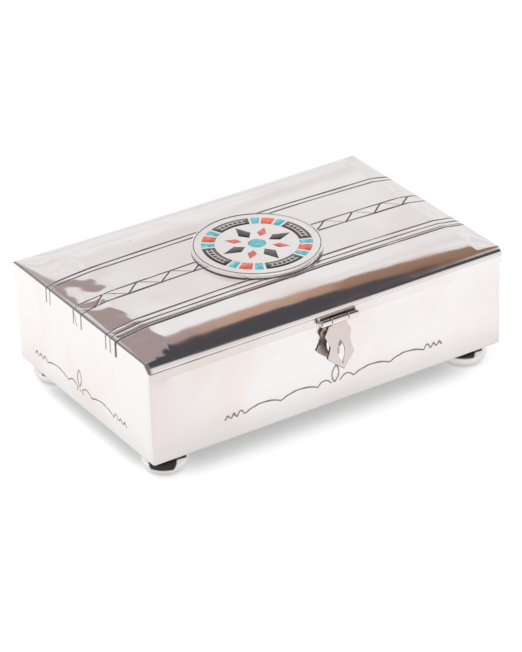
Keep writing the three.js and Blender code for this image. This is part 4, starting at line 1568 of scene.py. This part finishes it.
def build_hasp(scene, finishes):
    """The hasp: a leaf with two knuckles on the lid, the pin, and the shaped plate with its slot."""
    settings = scene.silver_box_fittings
    material = finishes["silver"]
    x, axis_y, axis_z = hasp_axis
    leaf_low, leaf_high = box_mm("hasp_leaf")
    half = (leaf_high[0] - leaf_low[0]) / 2
    high = leaf_high[2] - axis_z
    radius = settings.hasp_radius / MM
    knuckle = settings.hasp_knuckle / MM
    bore = 0.8
    clear = 0.3
    inner = knuckle / 2 + clear
    side_length = half - inner
    notch = radius + clear
    outline = [(-half, high), (-half, -radius / 2), (-inner, -radius / 2), (-inner, notch)]
    outline += [(inner, notch), (inner, -radius / 2), (half, -radius / 2), (half, high)]
    strip = slab("hasp_strip", outline, -0.02, 1.0, 0.18, material)
    turned(strip, facing_front(x, CENTRE_Y - HALF_WIDTH, axis_z))
    values = {
        "Count": 2,
        "Start": ((x - inner - side_length / 2) * MM, axis_y * MM, axis_z * MM),
        "Step": ((2 * inner + side_length) * MM, 0.0, 0.0),
        "Material": material,
    }
    barrels = run_tree(tube("hasp_barrels", radius, bore, side_length, material), row_tree(), values)
    strip = join("hasp_leaf_strip", [strip, barrels])
    # Oxide and painted shade: the strip and its knuckles are dark behind the pin's axis, in the recess
    paint(strip, "oxide", lambda px, py, pz: 0.88 * (py > axis_y + 0.25) * (pz < leaf_high[2] - 0.12))
    settle(strip, "lid", "silver", "hasp_leaf")

    pin = lathe("hasp_rod", pin_profile(half, 0.5, 0.9, 0.5), finishes["silver_soft"], 24, hasp_axis, "X")
    settle(pin, "lid", "silver_soft", "hasp_pin")

    shape, slot = hasp_outlines()
    face = settings.hasp_sheet / MM / 2
    plate = slab("plate", shape, -face, face, 0.26, material, [slot], hole_bevel=0.3, steps=3)
    # Painted shade and painted reflection tone on the plate
    paint(plate, "oxide", plate_painted_shade)
    paint(plate, "dull", plate_painted_reflection)
    turned(plate, facing_front(x, axis_y, axis_z, settings.hasp_tilt))
    middle = turned(tube("plate_knuckle", radius, bore, knuckle, material), Matrix.Translation(hasp_axis))

    def knuckle_painted_shade(px, py, pz):
        """Painted shade behind the knuckle and where the plate leaves it."""
        return 0.85 * (ramp(py - axis_y, 0.2, 0.6) + ramp(axis_z - pz, 1, 1.25))

    paint(middle, "oxide", knuckle_painted_shade)
    return settle(join("hasp_shaped_plate", [plate, middle]), "hasp", "silver", "hasp_plate")


PLATE_EDGE = 0.43  # how far the plate's edge reaches from its middle
PLATE_FACE = 0.4  # from here on its face and its back, with the bevel's last step


def plate_painted_shade(x, y, z):
    """Painted shade on the flat plate: a little brown at its back, and dark on its left edge's sides and in
    the slot.
    """
    drop = -y
    edge = np.abs(z) < PLATE_EDGE
    lower_left = edge & (x < -2.5) & ((drop > 10) & (drop < 15.2) | (drop > 17.5))
    point = edge & (x < 0.5) & (drop > 18.5)
    slot = (np.abs(x) < 2.6) & (drop > 8) & (drop < 18.6) & (z < 0.1)
    return np.select([lower_left | point, slot, z < -PLATE_FACE], [0.97, 0.9, 0.08], 0.0)


def plate_painted_reflection(x, y, z):
    """Painted reflection tone on the plate's face and back; its edges keep the plain silver and show bright.
    """
    return 0.75 * (z > PLATE_FACE) + 1.0 * (z < -PLATE_FACE)


def build_staple(scene, finishes):
    """The wire arch on the front wall that the hasp's slot drops over."""
    wire = scene.silver_box_fittings.staple_wire / MM
    low, high = box_mm("staple")
    wall_y = CENTRE_Y - BODY_HALF_WIDTH
    x = (low[0] + high[0]) / 2
    centre_z = (low[2] + high[2]) / 2
    half = (high[2] - low[2]) / 2 - wire
    reach = wall_y - low[1] - wire
    let_in = wall_y + 0.5
    angles = np.linspace(-math.pi / 2, math.pi / 2, 25)
    path = [(x, wall_y - reach * math.cos(a) ** 0.6, centre_z + half * math.sin(a)) for a in angles]
    path = [(x, let_in, path[0][2]), *path, (x, let_in, path[-1][2])]
    arch_wire = drawn_wire("staple_wire", path, wire, finishes["silver"])

    def wire_painted_shade(px, py, pz):
        """Painted shade beside the wire's middle, which keeps the plain silver and shows as a highlight."""
        return 0.95 * ramp(np.abs(px - x), 0.15, 0.35 + 0.15 * (pz < centre_z))

    paint(arch_wire, "oxide", wire_painted_shade)
    return settle(arch_wire, "box_body", "silver", "staple")


# Studio


def seen_by_metal(rays):
    """1 for glossy and transmitted rays, and 0 for the others."""
    return rays.tree.maths("MAXIMUM", rays.of("Is Glossy Ray"), rays.of("Is Transmission Ray"))


def build_floor(scene):
    """A wide floor that glows a little: white with a light shadow, and pale in the metal."""
    settings = scene.silver_box_studio
    material, tree = new_material("studio_floor")
    rays = tree.add("ShaderNodeLightPath")
    metal = seen_by_metal(rays)
    place = tree.add("ShaderNodeTexCoord", output="Object")
    part = tree.add("ShaderNodeSeparateXYZ", None, {"Vector": place})
    beside = tree.maths("ABSOLUTE", part) - BODY_HALF_LENGTH * MM
    before = tree.maths("ABSOLUTE", part.of("Y")) - BODY_HALF_WIDTH * MM
    shade = 1 - tree.step(tree.maths("MAXIMUM", beside, before), 0.004, 0.034)
    left = 1 - tree.step(part, -0.1, -0.08)
    # The metal shows the floor darker close to the walls, and less so at the left
    shown = settings.floor_gloss_glow + left * 0.03 - shade * (0.11 - left * 0.08)
    glow = rays * settings.floor_glow + metal * shown
    paper = tree.mix(metal, rgba(settings.floor), rgba(settings.floor_in_gloss))
    white = tree.add("ShaderNodeEmission", None, {"Color": (1.0, 1.0, 1.0, 1.0), "Strength": glow})
    matt = tree.add("ShaderNodeBsdfDiffuse", None, {"Color": paper})
    both = tree.add("ShaderNodeAddShader", None, {0: white, 1: matt})
    tree.add("ShaderNodeOutputMaterial", None, {"Surface": both})
    half = 4.0
    corners = [(-half, -half, 0), (half, -half, 0), (half, half, 0), (-half, half, 0)]
    mesh = bpy.data.meshes.new("studio_floor")
    mesh.from_pydata(corners, [], [(0, 1, 2, 3)])
    mesh.materials.append(material)
    floor = bpy.data.objects.new("studio_floor", mesh)
    scene.collection.objects.link(floor)


def room_in_metal(tree, way, settings):
    """What the metal shows of the room in each direction. sideways grows to the right, and height leans,
    so that the bands cross the box as they do in the photograph."""
    sideways = tree.add("ShaderNodeSeparateXYZ", None, {"Vector": way})
    height = tree.vector("DOT_PRODUCT", way, (-0.155, 0.264, 1.0), output="Value")
    cloud = tree.step(tree.noise(way, scale=11, detail=3, distortion=0.6), 0.35, 0.65)
    pale = tree.mix(cloud, rgba(settings.backdrop), rgba(settings.backdrop_light))

    # Behind the box are the boards over the backdrop, lower at the right, and the ceiling over both
    warm = rgba(settings.boards_left)
    for low, high, tone in ((0.425, 0.445, settings.boards), (0.478, 0.502, settings.boards_right)):
        warm = tree.mix(tree.step(sideways, low, high), warm, rgba(tone))
    drop = tree.maths("MAXIMUM", (sideways - 0.59) * 1.4, 0.0)
    boards = tree.mix(tree.step(height + drop, 0.718, 0.726), pale, warm)
    overhead = tree.step(height, 0.795, 0.803) * tree.step(sideways, 0.372, 0.388)
    overhead = tree.maths("MAXIMUM", overhead, tree.step(height, 0.85, 0.87))
    behind = tree.mix(overhead, boards, rgba(settings.ceiling))

    # In front of it the ceiling meets the backdrop at an edge that rises to the left
    rise = tree.held((0.5 - sideways) * 3.5, 0.0, 0.25)
    edge = tree.step(height - rise, 0.4, 0.5)
    before = tree.mix(edge, rgba(settings.backdrop), rgba(settings.ceiling))

    # What is behind comes further forward at the right, and at the far left all is pale
    forward = tree.held((sideways - 0.505) * 15.0, 0.0, 0.45)
    room = tree.mix(tree.step(sideways.of("Y") + forward, 0.18, 0.26), before, behind)
    return tree.mix(tree.step(sideways, 0.1, 0.16), pale, room)


def build_world(scene):
    """Even light on the box and a white surround, with a room that only the metal shows."""
    settings = scene.silver_box_studio
    world = bpy.data.worlds.new("studio_world")
    world.use_nodes = True
    world.node_tree.nodes.clear()
    scene.world = world
    tree = Tree(world.node_tree)
    way = tree.add("ShaderNodeTexCoord", output="Generated")
    rays = tree.add("ShaderNodeLightPath")
    sky = (settings.sky, settings.sky, settings.sky, 1.0)
    lit = tree.mix(seen_by_metal(rays), sky, room_in_metal(tree, way, settings))
    shown = tree.mix(rays.of("Is Camera Ray"), lit, (1.0, 1.0, 1.0, 1.0))
    background = tree.add("ShaderNodeBackground", None, {"Color": shown, "Strength": 1.0})
    tree.add("ShaderNodeOutputWorld", None, {"Surface": background})


def build_lamp(scene):
    """One large soft lamp over the back, for the floor's shadow."""
    lamp = bpy.data.lights.new("soft_lamp", "AREA")
    lamp.shape = "RECTANGLE"
    lamp.size = 0.9
    lamp.size_y = 0.7
    lamp.energy = 4.0
    holder = bpy.data.objects.new("soft_lamp", lamp)
    place = Vector((-0.35, 0.25, 1.25))
    aim = (Vector((0, 0, 0.03)) - place).to_track_quat("-Z", "Y")
    holder.matrix_world = Matrix.Translation(place) @ aim.to_matrix().to_4x4()
    holder.visible_glossy = False
    scene.collection.objects.link(holder)


def build_camera(scene):
    """The photograph's view: its place, its turn and its lens."""
    settings = scene.silver_box_studio
    camera = bpy.data.cameras.new("camera")
    camera.sensor_width = 36.0
    camera.lens = settings.lens
    camera.clip_start = 0.05
    camera.clip_end = 50
    turn = Matrix.Rotation(-settings.view_turn, 4, "Z")
    turn = turn @ Matrix.Rotation(math.pi / 2 - settings.view_rise, 4, "X")
    turn = turn @ Matrix.Rotation(settings.view_roll, 4, "Z")
    aim = Vector((0.0, CENTRE_Y * MM - settings.view_forward, settings.view_height))
    back = turn.to_3x3() @ Vector((0.0, 0.0, settings.view_distance))
    holder = bpy.data.objects.new("camera", camera)
    holder.matrix_world = Matrix.Translation(aim + back) @ turn
    scene.collection.objects.link(holder)
    scene.camera = holder


# Operators, panel and registration


class SILVERBOX_OT_body(bpy.types.Operator):
    """Builds the four soldered walls with their chased borders"""

    bl_idname = "silver_box.body"
    bl_label = "Walls"
    bl_options = {"REGISTER", "UNDO"}

    def execute(self, context):
        build_body(context.scene, finish_of(context.scene))
        return {"FINISHED"}


class SILVERBOX_OT_feet(bpy.types.Operator):
    """Builds the floor sheet and the four bun feet"""

    bl_idname = "silver_box.feet"
    bl_label = "Floor and feet"
    bl_options = {"REGISTER", "UNDO"}

    def execute(self, context):
        build_floor_and_feet(context.scene, finish_of(context.scene))
        return {"FINISHED"}


class SILVERBOX_OT_lid_top(bpy.types.Operator):
    """Builds the domed lid sheet with its chased lines"""

    bl_idname = "silver_box.lid_top"
    bl_label = "Lid sheet"
    bl_options = {"REGISTER", "UNDO"}

    def execute(self, context):
        build_lid_top(context.scene, finish_of(context.scene))
        return {"FINISHED"}


class SILVERBOX_OT_skirts(bpy.types.Operator):
    """Builds the ring of strips under the lid's sheet"""

    bl_idname = "silver_box.skirts"
    bl_label = "Lid skirts"
    bl_options = {"REGISTER", "UNDO"}

    def execute(self, context):
        build_skirts(context.scene, finish_of(context.scene))
        return {"FINISHED"}


class SILVERBOX_OT_disc(bpy.types.Operator):
    """Builds the raised disc's mount and rim"""

    bl_idname = "silver_box.disc"
    bl_label = "Disc"
    bl_options = {"REGISTER", "UNDO"}

    def execute(self, context):
        build_disc(context.scene, finish_of(context.scene))
        return {"FINISHED"}


class SILVERBOX_OT_stones(bpy.types.Operator):
    """Sets the jet, coral and turquoise in the disc"""

    bl_idname = "silver_box.stones"
    bl_label = "Stones"
    bl_options = {"REGISTER", "UNDO"}

    def execute(self, context):
        build_stones(context.scene, finish_of(context.scene))
        return {"FINISHED"}


class SILVERBOX_OT_hinge(bpy.types.Operator):
    """Builds the hinge at the back"""

    bl_idname = "silver_box.hinge"
    bl_label = "Hinge"
    bl_options = {"REGISTER", "UNDO"}

    def execute(self, context):
        build_hinge(context.scene, finish_of(context.scene))
        return {"FINISHED"}


class SILVERBOX_OT_hasp(bpy.types.Operator):
    """Builds the hasp's leaf, pin and plate"""

    bl_idname = "silver_box.hasp"
    bl_label = "Hasp"
    bl_options = {"REGISTER", "UNDO"}

    def execute(self, context):
        build_hasp(context.scene, finish_of(context.scene))
        return {"FINISHED"}


class SILVERBOX_OT_staple(bpy.types.Operator):
    """Builds the staple behind the hasp's slot"""

    bl_idname = "silver_box.staple"
    bl_label = "Staple"
    bl_options = {"REGISTER", "UNDO"}

    def execute(self, context):
        build_staple(context.scene, finish_of(context.scene))
        return {"FINISHED"}


class SILVERBOX_OT_studio(bpy.types.Operator):
    """Sets up the floor, the light and the camera"""

    bl_idname = "silver_box.studio"
    bl_label = "Studio"
    bl_options = {"REGISTER", "UNDO"}

    def execute(self, context):
        scene = context.scene
        scene.view_settings.view_transform = "Standard"
        build_floor(scene)
        build_world(scene)
        build_lamp(scene)
        build_camera(scene)
        return {"FINISHED"}


OPERATORS = [
    SILVERBOX_OT_studio,
    SILVERBOX_OT_body,
    SILVERBOX_OT_feet,
    SILVERBOX_OT_lid_top,
    SILVERBOX_OT_skirts,
    SILVERBOX_OT_disc,
    SILVERBOX_OT_stones,
    SILVERBOX_OT_hinge,
    SILVERBOX_OT_hasp,
    SILVERBOX_OT_staple,
]
GROUPS = {
    "silver_box_lid": SilverBoxLid,
    "silver_box_body": SilverBoxBody,
    "silver_box_disc": SilverBoxDisc,
    "silver_box_fittings": SilverBoxFittings,
    "silver_box_finish": SilverBoxFinish,
    "silver_box_studio": SilverBoxStudio,
}


class SILVERBOX_PT_panel(bpy.types.Panel):
    """Lists the settings and the pieces of the box"""

    bl_idname = "SILVERBOX_PT_panel"
    bl_label = "Inlaid silver box"
    bl_space_type = "VIEW_3D"
    bl_region_type = "UI"
    bl_category = "Silver box"

    def draw(self, context):
        layout = self.layout
        for operator in OPERATORS:
            layout.operator(operator.bl_idname)
        for name, group in GROUPS.items():
            column = layout.box().column()
            settings = getattr(context.scene, name)
            for label in group.__annotations__:
                column.prop(settings, label)


def register():
    for group in GROUPS.values():
        bpy.utils.register_class(group)
    for name, group in GROUPS.items():
        setattr(bpy.types.Scene, name, bpy.props.PointerProperty(type=group))
    for operator in OPERATORS:
        bpy.utils.register_class(operator)
    bpy.utils.register_class(SILVERBOX_PT_panel)


def unregister():
    bpy.utils.unregister_class(SILVERBOX_PT_panel)
    for operator in reversed(OPERATORS):
        bpy.utils.unregister_class(operator)
    for name in GROUPS:
        delattr(bpy.types.Scene, name)
    for group in reversed(list(GROUPS.values())):
        bpy.utils.unregister_class(group)


def main():
    register()
    for operator in OPERATORS:
        group, name = operator.bl_idname.split(".")
        getattr(getattr(bpy.ops, group), name)()


if __name__ == "__main__":
    main()
